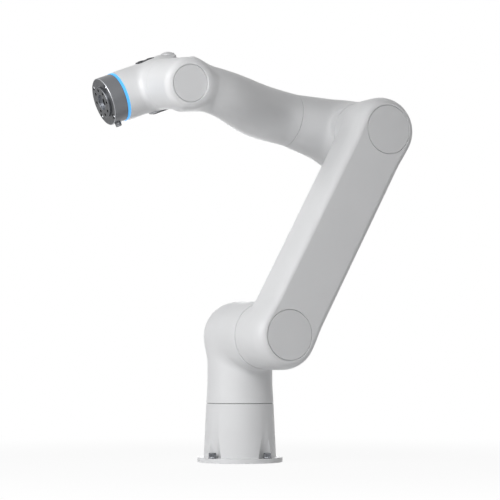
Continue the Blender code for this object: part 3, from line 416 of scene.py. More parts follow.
# Finishes: how metallic, and then what varies the colour, the roughness and the bump. Each source
# is a kind with its values, and then come its range, or the bump's depth and strength.
FINISHES = {
    # Textured lacquer on a casting: faint unevenness of colour and gloss, fine orange peel
    "paint": (0.0, (("noise", 9.0, 2.0), 0.985, 1.01), (("noise", 55.0), -0.03, 0.04),
              (("noise", 1400.0, 2.0), 0.00003, 0.25)),
    # Injection-moulded plastic with a spark-eroded grain
    "moulding": (0.0, (("noise", 40.0, 2.0), 0.94, 1.05), (("noise", 300.0, 2.0), -0.04, 0.05),
                 (("cells", 2600.0), 0.00004, 0.3)),
    # Metal off the lathe: fine rings round its axis, and a broken gloss
    "turned": (1.0, (("noise", 120.0), 0.85, 1.12), (RINGS, -0.05, 0.08), (RINGS, 0.00002, 0.35)),
    # Metal brushed along one direction, and across it
    "brushed": (1.0, (("noise", 60.0, 2.0), 0.9, 1.08), (STROKES, -0.06, 0.1), (STROKES, 0.00001, 0.3)),
    "brushed_across": (1.0, (("noise", 60.0, 2.0), 0.9, 1.08), (CROSS_STROKES, -0.06, 0.1),
                       (CROSS_STROKES, 0.00001, 0.3)),
    "rubber": (0.0, (("noise", 200.0), 0.85, 1.15), None, (("noise", 1800.0), 0.00005, 0.4)),
    # A diffuser that a ring of lamps lights evenly
    "diffuser": (0.0, (("noise", 80.0, 2.0), 0.95, 1.05), None, None),
    # Enamelled wire, wound in a fine pitch
    "winding": (0.9, (("noise", 150.0, 2.0), 0.8, 1.15), None, (WIRES, 0.00012, 0.6)),
    # A lacquered board with the print of its tracks
    "board": (0.0, (TRACKS, 0.7, 1.3), None, (TRACKS, 0.00004, 0.4)),
}


def finished(finish, name, color, roughness, **sockets):
    """A material with one of the finishes. The sockets are more values of its shader."""
    metallic, tint, rough, bump = FINISHES[finish]
    made = Shader(name, color, metallic, roughness)
    for socket, value in sockets.items():
        made.set(socket.replace("_", " "), value)

    kinds = {"noise": made.noise, "rings": made.rings, "cells": made.cells}

    def source(values):
        return kinds[values[0]](*values[1:])

    made.tint(source(tint[0]), *tint[1:])
    if rough:
        made.rough(source(rough[0]), roughness + rough[1], roughness + rough[2])
    if bump:
        made.bump(source(bump[0]), *bump[1:])
    return made.material


def flange_finish_and_painted_light(name, color, roughness):
    """Anodised metal with painted light: painted shade darkens the front face and the holes, and painted
    highlights brighten the edges and the bore.
    """
    made = Shader(name, color, 1.0, roughness)
    made.tint(made.rings(260.0, "X", 1.0), 0.92, 1.06)
    skin = EDGE / 8
    rim = TOOL_REACH - FLANGE_RIM_BACK
    front = TOOL_REACH - skin
    along, across = made.node("SeparateXYZ", made.place).outputs[0], made.from_x_axis()
    # Painted highlight: a lighter colour on the rim's chamfer. The next line keeps the flange's side in its
    # own colour.
    made.over(made.beyond(across, FLANGE_RADIUS - RIM_CHAMFER), RIM_PAINTED_HIGHLIGHT)
    made.over(made.beyond(across, FLANGE_RADIUS - skin), color)
    # Painted shade: a darker colour on the front face.
    made.over(made.beyond(along, rim - skin), FACE_PAINTED_SHADE)
    hole = HOLE_SHADE * TOOL_HOLE_RADIUS
    # Painted highlights on the hub's side, its rounded edge and its bore, and painted shade in the tool
    # holes.
    for behind, inner, outer, shade in (
        (rim + skin, HUB_RADIUS - skin, GROOVE_RADIUS, EDGE_PAINTED_HIGHLIGHT),
        (TOOL_REACH - EDGE, HUB_RADIUS - EDGE, FLANGE_RADIUS, EDGE_PAINTED_HIGHLIGHT),
        (TOOL_REACH - 2 * HUB_BORE_DEPTH, 0, HUB_BORE_RADIUS + EDGE, EDGE_PAINTED_HIGHLIGHT),
        # Painted shade in the tool holes.
        (TOOL_REACH - 2 * TOOL_HOLE_DEPTH, TOOL_HOLE_CIRCLE - hole, TOOL_HOLE_CIRCLE + hole, HOLE_PAINTED_SHADE),
    ):
        sides = made.between(along, behind, front), made.between(across, inner, outer)
        made.over(made.math("MULTIPLY", *sides), shade)
    made.rough(made.noise(120.0, 3.0), roughness - 0.05, roughness + 0.07)
    return made.material


LIGHT_BLUE = (0.085, 0.42, 0.88, 1.0)
GLOW = {"Emission_Color": LIGHT_BLUE, "Emission_Strength": 0.85}
LOOKS = {
    "shell_white": finished("paint", "shell_white_paint", (0.8, 0.805, 0.815), 0.38),
    "cap_grey": finished("paint", "cap_grey_paint", (0.77, 0.775, 0.785), 0.42),
    "pale_grey": finished("moulding", "pale_grey_plastic", (0.56, 0.57, 0.59), 0.42),
    "dark_plastic": finished("moulding", "dark_plastic", (0.035, 0.037, 0.042), 0.5, Specular_IOR_Level=0.2),
    "lid_grey": finished("moulding", "lid_grey_plastic", (0.7, 0.705, 0.715), 0.42),
    "seal_rubber": finished("rubber", "seal_rubber", (0.06, 0.06, 0.065), 0.8),
    "pale_seal": finished("rubber", "pale_seal_rubber", (0.44, 0.445, 0.455), 0.8),
    "flange_metal": flange_finish_and_painted_light("flange_metal", (0.19, 0.195, 0.205), 0.34),
    "bright_steel": finished("brushed", "bright_steel", (0.62, 0.63, 0.65), 0.22),
    "bolt_steel": finished("brushed", "bolt_steel", (0.18, 0.185, 0.2), 0.2),
    "gear_steel": finished("turned", "gear_steel", (0.42, 0.43, 0.45), 0.35),
    "copper_winding": finished("winding", "copper_winding", (0.72, 0.36, 0.18), 0.35),
    "circuit_board": finished("board", "circuit_board", (0.03, 0.2, 0.09), 0.45),
    "status_light": finished("diffuser", "status_light", (0.05, 0.3, 0.6), 0.35, **GLOW),
    "panel_metal": finished("brushed_across", "panel_metal", (0.5, 0.51, 0.53), 0.35),
}
MODULE_SLOTS = {
    "motor_stator": "copper_winding",
    "circular_spline": "gear_steel",
    "drive_board": "circuit_board",
    "rotor_shaft": "bright_steel",
    "flexspline": "gear_steel",
}


# Mesh helpers


def bridge(bm, first, second):
    """Faces between two rings with as many points, or between a ring and a single point."""
    count = max(len(first), len(second))
    if count == 1:
        return
    for i in range(count):
        after = (i + 1) % count
        corners = [first[i % len(first)], first[after % len(first)]]
        corners += [second[after % len(second)], second[i % len(second)]]
        bm.faces.new(dict.fromkeys(corners))


def ring_of(bm, points):
    return [bm.verts.new(tuple(point)) for point in points]


def turned(profile, segments=SEGMENTS, place=Matrix(), bm=None):
    """Turns a closed profile of (radius, height) about Z."""
    bm = bm or bmesh.new()
    rings = []
    for radius, height in profile:
        if radius == 0:
            rings.append(ring_of(bm, [place @ Vector((0, 0, height))]))
            continue
        turn = [2 * pi * i / segments for i in range(segments)]
        points = [place @ Vector((radius * cos(a), radius * sin(a), height)) for a in turn]
        rings.append(ring_of(bm, points))
    for first, second in zip(rings, rings[1:] + rings[:1]):
        bridge(bm, first, second)
    return bm


def softened(corners):
    """A closed profile whose corners are rounded. Each corner is (radius, height, rounding)."""
    profile = []
    for i, (radius, height, rounding) in enumerate(corners):
        corner = Vector((radius, height))
        if rounding == 0:
            profile.append((radius, height))
            continue
        after = corners[(i + 1) % len(corners)]
        towards = [(Vector(other[:2]) - corner).normalized() for other in (corners[i - 1], after)]
        start, end = (corner + rounding * way for way in towards)
        for share in np.linspace(0, 1, ARC):
            point = start * (1 - share) ** 2 + corner * 2 * share * (1 - share) + end * share**2
            profile.append((point.x, point.y))
    return profile


def cylinder(radius, bottom, top, segments=FINE, place=Matrix(), bm=None):
    return turned([(0, bottom), (radius, bottom), (radius, top), (0, top)], segments, place, bm)


def cylinders(places, *sizes):
    bm = bmesh.new()
    for place in places:
        cylinder(*sizes, place, bm)
    return bm


def box(size, centre, turn):
    bm = bmesh.new()
    bmesh.ops.create_cube(bm, size=1.0, matrix=turn @ moved(centre) @ Matrix.Diagonal((*size, 1.0)))
    return bm


def around(count, radius, start=0.0):
    """Places on a circle about Z, each turned to face outwards."""
    for i in range(count):
        angle = radians(start) + 2 * pi * i / count
        yield Matrix.Rotation(angle, 4, "Z") @ moved((radius, 0, 0))


def object_of(name, bm):
    bmesh.ops.remove_doubles(bm, verts=bm.verts, dist=WELD_DISTANCE)
    bmesh.ops.recalc_face_normals(bm, faces=bm.faces)
    mesh = bpy.data.meshes.new(name)
    bm.to_mesh(mesh)
    bm.free()
    obj = bpy.data.objects.new(name, mesh)
    bpy.context.scene.collection.objects.link(obj)
    return obj


def combine(obj, operation, bm):
    """Joins a helper shape to a piece or cuts it away, and keeps only the result."""
    helper = object_of(obj.name + "_helper", bm)
    modifier = obj.modifiers.new(operation, "BOOLEAN")
    modifier.operation = operation
    modifier.solver = "EXACT"
    modifier.object = helper
    graph = bpy.context.evaluated_depsgraph_get()
    result = bpy.data.meshes.new_from_object(obj.evaluated_get(graph))
    obj.modifiers.clear()
    obj.data = result
    bpy.data.objects.remove(helper)


def cut(obj, bm):
    combine(obj, "DIFFERENCE", bm)


def join(obj, bm):
    combine(obj, "UNION", bm)


def coat(obj, look):
    obj.data.materials.clear()
    obj.data.materials.append(LOOKS[look])


def dress(obj, link, slot, node=None, look=None):
    """Gives a finished mesh its place, its shading, its material and its body."""
    coat(obj, look or slot)
    obj.data.shade_smooth()
    obj.data.set_sharp_from_angle(angle=SHARP_ANGLE)
    weighted = obj.modifiers.new("weighted_normals", "WEIGHTED_NORMAL")
    weighted.keep_sharp = True
    obj.matrix_world = LINKS[link]
    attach(obj, link)
    if node:
        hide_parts(node)


def turned_piece(name, corners, place, *worn, segments=SEGMENTS):
    """A turned piece with rounded corners, dressed as it says."""
    dress(object_of(name, turned(softened(corners), segments, place)), *worn)


# Signed distances of the forms that the cast housings blend together


def smooth_union(first, second, blend):
    share = np.clip(0.5 + 0.5 * (second - first) / blend, 0, 1)
    return second + (first - second) * share - blend * share * (1 - share)


def capsule(points, start, end, radius):
    along = np.subtract(end, start)
    share = np.clip((points - start) @ along / (along @ along), 0, 1)
    return np.linalg.norm(points - start - share[..., None] * along, axis=-1) - radius


def taper(points, start, end, first, last):
    """A straight horn, whose radius goes from the first value to the last and on."""
    along = end - start
    share = np.maximum((points - start) @ along / (along @ along), 0)
    spread = np.linalg.norm(points - start - share[..., None] * along, axis=-1)
    return spread - first - share * (last - first)


def barrel(points, centre, axis, radius, back, front, edge):
    """A cylinder along an axis, from back to front, whose end edges are rounded."""
    offset = points - centre
    height = offset @ axis
    spread = np.linalg.norm(offset - height[..., None] * axis, axis=-1)
    middle, half = (front + back) / 2, (front - back) / 2
    side = spread - radius + edge
    end = np.abs(height - middle) - half + edge
    outside = np.hypot(np.maximum(side, 0), np.maximum(end, 0))
    return np.minimum(np.maximum(side, end), 0) + outside - edge


def turret_shape(points):
    shoulder = Z * SHOULDER_HEIGHT
    column = capsule(points, -Z * REACH, shoulder, TURRET_COLUMN_RADIUS)
    cross = barrel(points, shoulder, Y, TURRET_BARREL_RADIUS, -TURRET_BACK, REACH, TURRET_BACK_ROUND)
    return smooth_union(column, cross, TURRET_BLEND)


def elbow_shape(points):
    start = np.array([0, HORN_OFFSET, FOREARM_RISE])
    end = np.array([FOREARM_START, FOREARM_OFFSET, FOREARM_RISE])
    cross = barrel(points, 0 * Y, Y, ELBOW_BARREL_RADIUS, -ELBOW_BACK, REACH, ELBOW_BACK_ROUND)
    horn = taper(points, start, end, HORN_RADIUS, FOREARM_RADIUS)
    return smooth_union(cross, horn, HORN_BLEND)


def neck_share(x):
    """How far along its sideways shift the centre line is, from 0 to 1, with level ends."""
    share = np.clip((x - NECK_FROM) / (NECK_TO - NECK_FROM), 0, 1)
    return share * share * (3 - 2 * share)


def neck_slope(x):
    share = np.clip((x - NECK_FROM) / (NECK_TO - NECK_FROM), 0, 1)
    return NECK_SHIFT * 6 * share * (1 - share) / (NECK_TO - NECK_FROM)


def forearm_shape(points):
    x = np.minimum(points[..., 0], NECK_TO)
    share = neck_share(x)
    lean = 1 / np.hypot(1, neck_slope(x))
    depth = FOREARM_RADIUS + share * (NECK_HALF_DEPTH - FOREARM_RADIUS)
    height = FOREARM_RADIUS + share**3 * (NECK_HALF_HEIGHT - FOREARM_RADIUS)
    side = (points[..., 1] - NECK_SHIFT * share) * lean
    level = points[..., 2] + NECK_SAG * 4 * share * (1 - share) - NECK_RISE * share * share
    past = np.maximum(points[..., 0] - NECK_TO, 0)
    neck = (np.sqrt((side / depth) ** 2 + (level / height) ** 2) - 1) * depth
    neck = np.maximum(neck, past - depth)
    drum = barrel(points, X * FOREARM_LENGTH, Y, DRUM_RADIUS, -REACH, DRUM_FACE, DRUM_ROUND)
    beside = np.clip((points[..., 1] - WRIST_OFFSET) / (NECK_SHIFT - WRIST_OFFSET), 0, 1)
    return smooth_union(neck, drum, TIGHT_BLEND + beside * (DRUM_BLEND - TIGHT_BLEND))


def wrist_shape(points):
    cross = barrel(points, 0 * X, X, WRIST_RADIUS, -WRIST_BACK, REACH, WRIST_BACK_ROUND)
    neck = capsule(points, 0 * Y, Y * REACH, DRUM_RADIUS)
    return smooth_union(cross, neck, TIGHT_BLEND)


def hollowed(shape):
    """The inner skin of a shape, one wall inside it."""
    return lambda points: shape(points) + WALL


# Rings of points in the plane of a frame, which is a centre and the plane's two directions


def planes(start, along, across, up):
    """Gives the plane at any offset along a line."""
    return lambda offset: (start + along * offset, across, up)


def directions(plane, segments):
    across, up = plane[1:]
    turn = 2 * np.pi * np.arange(segments) / segments
    return np.cos(turn)[:, None] * across + np.sin(turn)[:, None] * up


def circle(plane, radius, segments=SEGMENTS):
    return plane[0] + radius * directions(plane, segments)


def section(shape, plane, segments=SEGMENTS):
    """The outline of a shape in a plane, found along rays from its centre."""
    rays = directions(plane, segments)
    steps = np.linspace(0, REACH, MARCH_STEPS)
    outside = shape(plane[0] + steps[:, None, None] * rays) > 0
    first = outside.argmax(axis=0)
    near, far = steps[first - 1], steps[first]
    for _ in range(HALVINGS):
        middle = (near + far) / 2
        beyond = shape(plane[0] + middle[:, None] * rays) > 0
        near, far = np.where(beyond, near, middle), np.where(beyond, middle, far)
    return plane[0] + far[:, None] * rays


def swing(pivot, first, last, across, steps=SWING_STEPS):
    """Planes that turn by a quarter about a line through the pivot, from one centre to another."""
    level = [np.dot(centre - pivot, across) * across for centre in (first, last)]
    arms = [centre - pivot - lift for centre, lift in zip((first, last), level)]
    reach = [np.linalg.norm(arm) for arm in arms]
    for share in np.linspace(0, 1, steps):
        angle = share * np.pi / 2
        up = np.cos(angle) * arms[0] / reach[0] + np.sin(angle) * arms[1] / reach[1]
        length = reach[0] + share * (reach[1] - reach[0])
        lift = level[0] + share * (level[1] - level[0])
        yield pivot + lift + length * up, across, up


def lip(plane_at, radius, face, side):
    """Rings of a rounded edge, from the wall to the end face. side is 1 where the wall lies before it."""
    rings = []
    for angle in np.linspace(0, pi / 2, ARC):
        plane = plane_at(face - side * LIP * (1 - sin(angle)))
        rings.append(circle(plane, radius - LIP * (1 - cos(angle))))
    return rings


def eased(first, last, axis, steps=8):
    """Rings between two others that leave the first one along the axis and then close in."""
    step = last - first
    forward = (step @ axis)[:, None] * axis
    inward = step - forward
    shares = np.linspace(0, 1, steps + 1)[1:-1]
    return [first + share * forward + (1 - cos(share * pi / 2)) * inward for share in shares]


def loft(bm, rings):
    """A skin over rings of points. Gives the first and the last ring's vertices."""
    rows = [ring_of(bm, ring) for ring in rings]
    for first, second in zip(rows, rows[1:]):
        bridge(bm, first, second)
    return rows[0], rows[-1]


def shell(outer, inner):
    """A closed body from the rings of its outer skin and of its inner skin, both in the same order."""
    bm = bmesh.new()
    for first, second in zip(loft(bm, outer), loft(bm, inner)):
        bridge(bm, first, second)
    return bm


def solid_of_rings(rings):
    bm = bmesh.new()
    for end in loft(bm, rings):
        bm.faces.new(end)
    return bm


# Base


BACK_OF_BASE = turned_by(BASE_TURN + 180, "Z")


def bolt_places(radius):
    return around(BASE_BOLTS, radius, BASE_TURN + 180 / BASE_BOLTS)


def base_housing():
    bore_floor = BASE_HEIGHT - LARGE_DEPTH
    cover_room = COVER_RADIUS + GAP
    cover_top = COVER_THICKNESS + GAP
    corners = [
        (cover_room, 0, 0), (FOOT_RADIUS, 0, EDGE),
        (FOOT_RADIUS, FOOT_THICKNESS, 2 * EDGE),
        (COLUMN_FOOT_RADIUS, FOOT_THICKNESS, 3 * EDGE),
        (COLUMN_TOP_RADIUS, BASE_HEIGHT, BASE_LIP), (LARGE_BORE, BASE_HEIGHT, 0),
        (LARGE_BORE, bore_floor, 0), (BASE_CAVITY_RADIUS, bore_floor - EDGE, 0),
        (BASE_CAVITY_RADIUS, cover_top, 0), (cover_room, cover_top, 0),
    ]
    base = object_of("base_casting", turned(softened(corners), 2 * SEGMENTS))
    floor = FOOT_THICKNESS - SPOT_FACE
    lean = Matrix.Shear("XY", 4, (POCKET_LEAN / (POCKET_TOP - floor), 0))
    upright = moved((0, 0, floor)) @ lean
    places = [place @ upright for place in bolt_places(POCKET_DISTANCE)]
    cut(base, cylinders(places, POCKET_RADIUS, 0, POCKET_TOP - floor, SEGMENTS))
    places = bolt_places(BOLT_CIRCLE_RADIUS)
    cut(base, cylinders(places, BOLT_RADIUS + GAP, -EDGE, FOOT_THICKNESS + EDGE, FINE))
    size = (PANEL_DISTANCE, PANEL_WIDTH + 2 * GAP, PANEL_HEIGHT + 2 * GAP)
    centre = (PANEL_DISTANCE * 1.5, 0, PANEL_BOTTOM + PANEL_HEIGHT / 2)
    cut(base, box(size, centre, BACK_OF_BASE))
    dress(base, "base", "shell_white", "base_housing")


def base_bolts():
    seat = FOOT_THICKNESS - SPOT_FACE + GAP
    neck = seat + WASHER_THICKNESS
    top = neck + BOLT_HEAD_HEIGHT
    socket = BOLT_HEAD_RADIUS / 2
    corners = [
        (0, 2 * EDGE, 0), (BOLT_RADIUS, 2 * EDGE, 0), (BOLT_RADIUS, seat, 0),
        (WASHER_RADIUS, seat, 0), (WASHER_RADIUS, neck, EDGE / 2),
        (BOLT_HEAD_RADIUS, neck, 0), (BOLT_HEAD_RADIUS, top, EDGE),
        (socket + EDGE, top, EDGE / 2), (socket + EDGE / 4, top - EDGE, 0),
        (0, top - EDGE, 0),
    ]
    for number, place in enumerate(bolt_places(BOLT_CIRCLE_RADIUS), 1):
        head = turned(softened(corners), 2 * KNURLS, place)
        knurl(head, place, neck + EDGE, top - EDGE)
        bolt = object_of(f"base_bolt_head_{number}", head)
        cut(bolt, cylinder(socket, top - BOLT_HEAD_HEIGHT / 2, top + EDGE, HEX, place))
        dress(bolt, "base", "bright_steel", f"base_bolt_{number}", "bolt_steel")


def knurl(bm, place, bottom, top):
    """Cuts grip grooves into a turned head by moving every second column of its points inwards."""
    inverse = place.inverted()
    loops = [edge for edge in bm.edges if abs(edge.verts[0].co.z - edge.verts[1].co.z) > (top - bottom) / 2]
    upright = [edge for edge in loops if (inverse @ edge.verts[0].co).xy.length > BOLT_HEAD_RADIUS - EDGE]
    made = bmesh.ops.subdivide_edges(bm, edges=upright, cuts=KNURL_ROWS)
    for vert in {item for item in made["geom_inner"] if isinstance(item, bmesh.types.BMVert)}:
        spot = inverse @ vert.co
        turn = round(atan2(spot.y, spot.x) / pi * KNURLS)
        if turn % 2 and bottom < spot.z < top:
            spot.xy *= 1 - KNURL_DEPTH / BOLT_HEAD_RADIUS
            vert.co = place @ spot


def connector_panel():
    """The plate with its four sockets, each with a rounded rim and its contacts."""
    size = (PANEL_THICKNESS, PANEL_WIDTH, PANEL_HEIGHT)
    back = PANEL_DISTANCE + GAP
    middle = PANEL_BOTTOM + PANEL_HEIGHT / 2
    plate = box(size, (back + PANEL_THICKNESS / 2, 0, middle), BACK_OF_BASE)
    panel = object_of("connector_plate", plate)
    bevel = panel.modifiers.new("edges", "BEVEL")
    bevel.width = EDGE / 2
    bevel.segments = 3
    dress(panel, "base", "panel_metal", "connector_panel")
    floor = SOCKET_LENGTH - SOCKET_DEPTH
    corners = [
        (0, PANEL_THICKNESS / 2 + GAP, 0),
        (SOCKET_RADIUS, PANEL_THICKNESS / 2 + GAP, 0),
        (SOCKET_RADIUS, SOCKET_LENGTH, EDGE), (SOCKET_HOLE, SOCKET_LENGTH, EDGE / 2),
        (SOCKET_HOLE, floor, 0), (0, floor, 0),
    ]
    for number, (side, level) in enumerate(((-1, -1), (-1, 1), (1, -1), (1, 1)), 1):
        spot = (back + PANEL_THICKNESS / 2, side * PANEL_WIDTH / 4, middle + level * PANEL_HEIGHT / 4)
        place = BACK_OF_BASE @ moved(spot) @ ALONG_X
        turned_piece(f"panel_socket_{number}", corners, place, "base", "flange_metal")
        contacts(f"panel_contacts_{number}", "base", place, floor)


def contacts(name, link, place, floor):
    """A ring of pins and one in its middle, standing in a round connector."""
    places = [place @ spot for spot in (*around(PINS_IN_RING, PIN_CIRCLE), Matrix())]
    pins = cylinders(places, PIN_RADIUS, floor - EDGE, floor + SOCKET_DEPTH / 2, PIN_SEGMENTS)
    dress(object_of(name, pins), link, "bright_steel")


# Turret


def turret_housing():
    foot = BASE_HEIGHT + SEAM
    face = SHOULDER_OFFSET - SEAM / 2
    under_barrel = SHOULDER_HEIGHT - TURRET_BARREL_RADIUS
    pivot = np.array([0, TURRET_COLUMN_RADIUS + BEND_ROOM, under_barrel - BEND_ROOM])
    turn_from = Z * pivot[2]
    turn_to = np.array([0, pivot[1], SHOULDER_HEIGHT])
    upright = planes(0 * Z, Z, X, -Y)
    sideways = planes(Z * SHOULDER_HEIGHT, Y, X, Z)
    bend = list(swing(pivot, turn_from, turn_to, X))
    skin = [section(turret_shape, plane) for plane in bend]
    foot_lip = lip(upright, COLUMN_TOP_RADIUS, foot, -1)[::-1]
    face_lip = lip(sideways, TURRET_SEAM_RADIUS, face, 1)
    outer = foot_lip + eased(skin[0], foot_lip[-1], -Z, 6)[::-1] + skin
    outer += eased(skin[-1], face_lip[0], Y) + face_lip
    bore_floor = face - LARGE_DEPTH
    inner = [
        circle(upright(foot), LARGE_SEAT),
        circle(upright(foot + SEAT_DEPTH), LARGE_SEAT),
        circle(upright(foot + SEAT_DEPTH + EDGE), TURRET_COLUMN_RADIUS - WALL),
    ]
    inner += [section(hollowed(turret_shape), plane) for plane in bend[TURRET_INNER]]
    inner += [circle(sideways(bore_floor), LARGE_BORE), circle(sideways(face), LARGE_BORE)]
    dress(object_of("turret_casting", shell(outer, inner)), "turret", "shell_white", "turret_housing")


# Upper arm


def stadium(y, inset):
    """A ring round the arm: two half circles about the joint axes, joined by slightly hollow sides."""
    radius = ARM_RADIUS - inset
    half = SEGMENTS // 2
    side = []
    for i in range(1, SIDE_STEPS + 1):
        share = i / SIDE_STEPS
        width = ARM_WAIST - inset + (ARM_RADIUS - ARM_WAIST) * (1 + cos(pi * share)) / 2
        side.append((width, share * ARM_TAPER_LENGTH))
    side += [(width, UPPER_ARM_LENGTH - height) for width, height in reversed(side)]
    points = []
    for end, start in ((UPPER_ARM_LENGTH, 0), (0, pi)):
        for i in range(half + 1):
            angle = start + pi * i / half
            points.append((radius * cos(angle), y, end + radius * sin(angle)))
        turn = -cos(start)
        for width, height in side:
            points.append((turn * width, y, UPPER_ARM_LENGTH - height if start == 0 else height))
    return points


def rounded_edge(face, side, rounding):
    """Stadium rings from a face inwards, whose edge is rounded by a quarter ellipse."""
    inset, depth = rounding
    for i in range(ROUND_STEPS + 1):
        angle = pi / 2 * i / ROUND_STEPS
        yield stadium(face + side * depth * (1 - cos(angle)), inset * (1 - sin(angle)))


def upper_arm_housing():
    near = list(rounded_edge(ARM_INNER_FACE, 1, ARM_INNER_ROUND))
    far = list(rounded_edge(ARM_OUTER_FACE, -1, ARM_OUTER_ROUND))
    arm = object_of("upper_arm_casting", solid_of_rings(near + far[::-1]))
    face = SHOULDER_OFFSET + SEAM / 2
    elbow = moved((0, 0, UPPER_ARM_LENGTH)) @ ALONG_Y
    neck_end = ARM_INNER_FACE + ARM_INNER_ROUND[1]
    neck = [
        (0, face, 0), (ARM_NECK_RADIUS, face, LIP), (ARM_RADIUS - EDGE, neck_end, 0),
        (0, neck_end, 0),
    ]
    for place in (ALONG_Y, elbow):
        join(arm, turned(softened(neck), SEGMENTS, place))
    cut(arm, solid_of_rings([
        stadium(ARM_INNER_FACE + WALL, ARM_INNER_ROUND[0]),
        stadium(neck_end, WALL),
        stadium(ARM_OUTER_FACE - ARM_OUTER_ROUND[1], WALL),
        stadium(ARM_OUTER_FACE - WALL, ARM_OUTER_ROUND[0]),
    ]))
    bore_floor = face + LARGE_DEPTH
    join(arm, cylinder(LARGE_BORE + WALL / 2, ARM_INNER_FACE, bore_floor, SEGMENTS, elbow))
    cut(arm, cylinder(LARGE_BORE, face - EDGE, bore_floor + EDGE, SEGMENTS, elbow))
    seat_cut = [
        (0, face - EDGE), (LARGE_SEAT, face - EDGE), (LARGE_SEAT, face + SEAT_DEPTH),
        (LARGE_SEAT - WALL, face + SEAT_DEPTH),
        (LARGE_SEAT - WALL, face + 3 * SEAT_DEPTH), (0, face + 3 * SEAT_DEPTH),
    ]
    cut(arm, turned(seat_cut, SEGMENTS, ALONG_Y))
    for place in (ALONG_Y, elbow):
        cut(arm, cap_opening(CAP_RADIUS, ARM_OUTER_FACE - 2 * WALL, ARM_OUTER_FACE, place))
    dress(arm, "upper_arm", "shell_white", "upper_arm_housing")


def cap_opening(radius, floor, face, place):
    """The stepped hole of a round cover, whose outer edge is broken."""
    step = face - CAP_THICKNESS - GAP
    profile = [
        (0, floor), (radius - CAP_STEP, floor), (radius - CAP_STEP, step),
        (radius + GAP, step), (radius + GAP, face - EDGE / 2),
        (radius + GAP + EDGE / 2, face), (radius + GAP + EDGE / 2, face + WALL),
        (0, face + WALL),
    ]
    return turned(profile, SEGMENTS, place)


def round_cap(name, link, radius, face, location):
    corners = [
        (0, face - CAP_THICKNESS, 0), (radius - CAP_GROOVE, face - CAP_THICKNESS, 0),
        (radius - CAP_GROOVE, face, EDGE / 2), (radius - CAP_STEP, face, 0),
        (0, face, 0),
    ]
    turned_piece(name + "_cover", corners, moved(location) @ ALONG_Y, link, "cap_grey", name)


# Elbow


def elbow_housing():
    face = SHOULDER_OFFSET - SEAM / 2
    straight = 5 * EDGE
    pivot = np.array([FOREARM_START - straight, face - straight, 0])
    turn_to = np.array([pivot[0], FOREARM_OFFSET, FOREARM_RISE])
    sideways = planes(0 * Y, Y, Z, -X)
    forward = planes(Y * FOREARM_OFFSET + Z * FOREARM_RISE, X, Z, -Y)
    bend = list(swing(pivot, Y * pivot[1], turn_to, Z, 2 * SWING_STEPS))
    skin = [section(elbow_shape, plane) for plane in bend]
    side_lip = lip(sideways, ELBOW_SEAM_RADIUS, face, 1)[::-1]
    outer = side_lip + eased(skin[0], side_lip[-1], Y, 4)[::-1] + skin
    outer += lip(forward, FOREARM_RADIUS, FOREARM_START, 1)
    bore_floor = FOREARM_START - SMALL_DEPTH
    inner = [circle(sideways(face), LARGE_SEAT), circle(sideways(face - SEAT_DEPTH), LARGE_SEAT)]
    inner += [section(hollowed(elbow_shape), plane) for plane in bend[ELBOW_INNER]]
    inner += [circle(forward(bore_floor), SMALL_BORE), circle(forward(FOREARM_START), SMALL_BORE)]
    dress(object_of("elbow_casting", shell(outer, inner)), "elbow", "shell_white", "elbow_housing")


# Swan-neck forearm


def neck_plane(x):
    """A plane square to the swan neck's centre line."""
    along = X + Y * neck_slope(x)
    along = along / np.linalg.norm(along)
    return X * x + Y * NECK_SHIFT * neck_share(x), Z, np.cross(Z, along)


def forearm_housing():
    start = FOREARM_START + SEAM
    face = WRIST_OFFSET + SEAM / 2
    straight = 2 * EDGE
    pivot = np.array([FOREARM_LENGTH - DRUM_RADIUS - BEND_ROOM, face + straight, 0])
    turn_from = np.array([pivot[0], NECK_SHIFT * neck_share(pivot[0]), 0])
    turn_to = np.array([FOREARM_LENGTH, pivot[1], 0])
    forward = planes(0 * X, X, Z, Y)
    sideways = planes(X * FOREARM_LENGTH, Y, Z, X)
    run = np.linspace(NECK_FROM, pivot[0] - BEND_ROOM / 2, NECK_STEPS)
    outer = lip(forward, FOREARM_RADIUS, start, -1)[::-1]
    outer += [section(forearm_shape, neck_plane(x)) for x in run]
    turning = swing(pivot, turn_from, turn_to, Z, 2 * SWING_STEPS)
    outer += [section(forearm_shape, plane) for plane in turning]
    outer += lip(sideways, DRUM_RADIUS, face, -1)
    bore_floor = face + SMALL_DEPTH
    inner = [circle(forward(start), SMALL_SEAT), circle(forward(start + SEAT_DEPTH), SMALL_SEAT)]
    inner += [section(hollowed(forearm_shape), neck_plane(x)) for x in run[NECK_INNER]]
    inner += [circle(sideways(bore_floor), SMALL_BORE), circle(sideways(face), SMALL_BORE)]
    forearm = object_of("forearm_casting", shell(outer, inner))
    drum = moved((FOREARM_LENGTH, 0, 0)) @ ALONG_Y
    cut(forearm, cap_opening(WRIST_CAP_RADIUS, bore_floor - WALL, DRUM_FACE, drum))
    dress(forearm, "forearm", "shell_white", "forearm_housing")


# Wrist


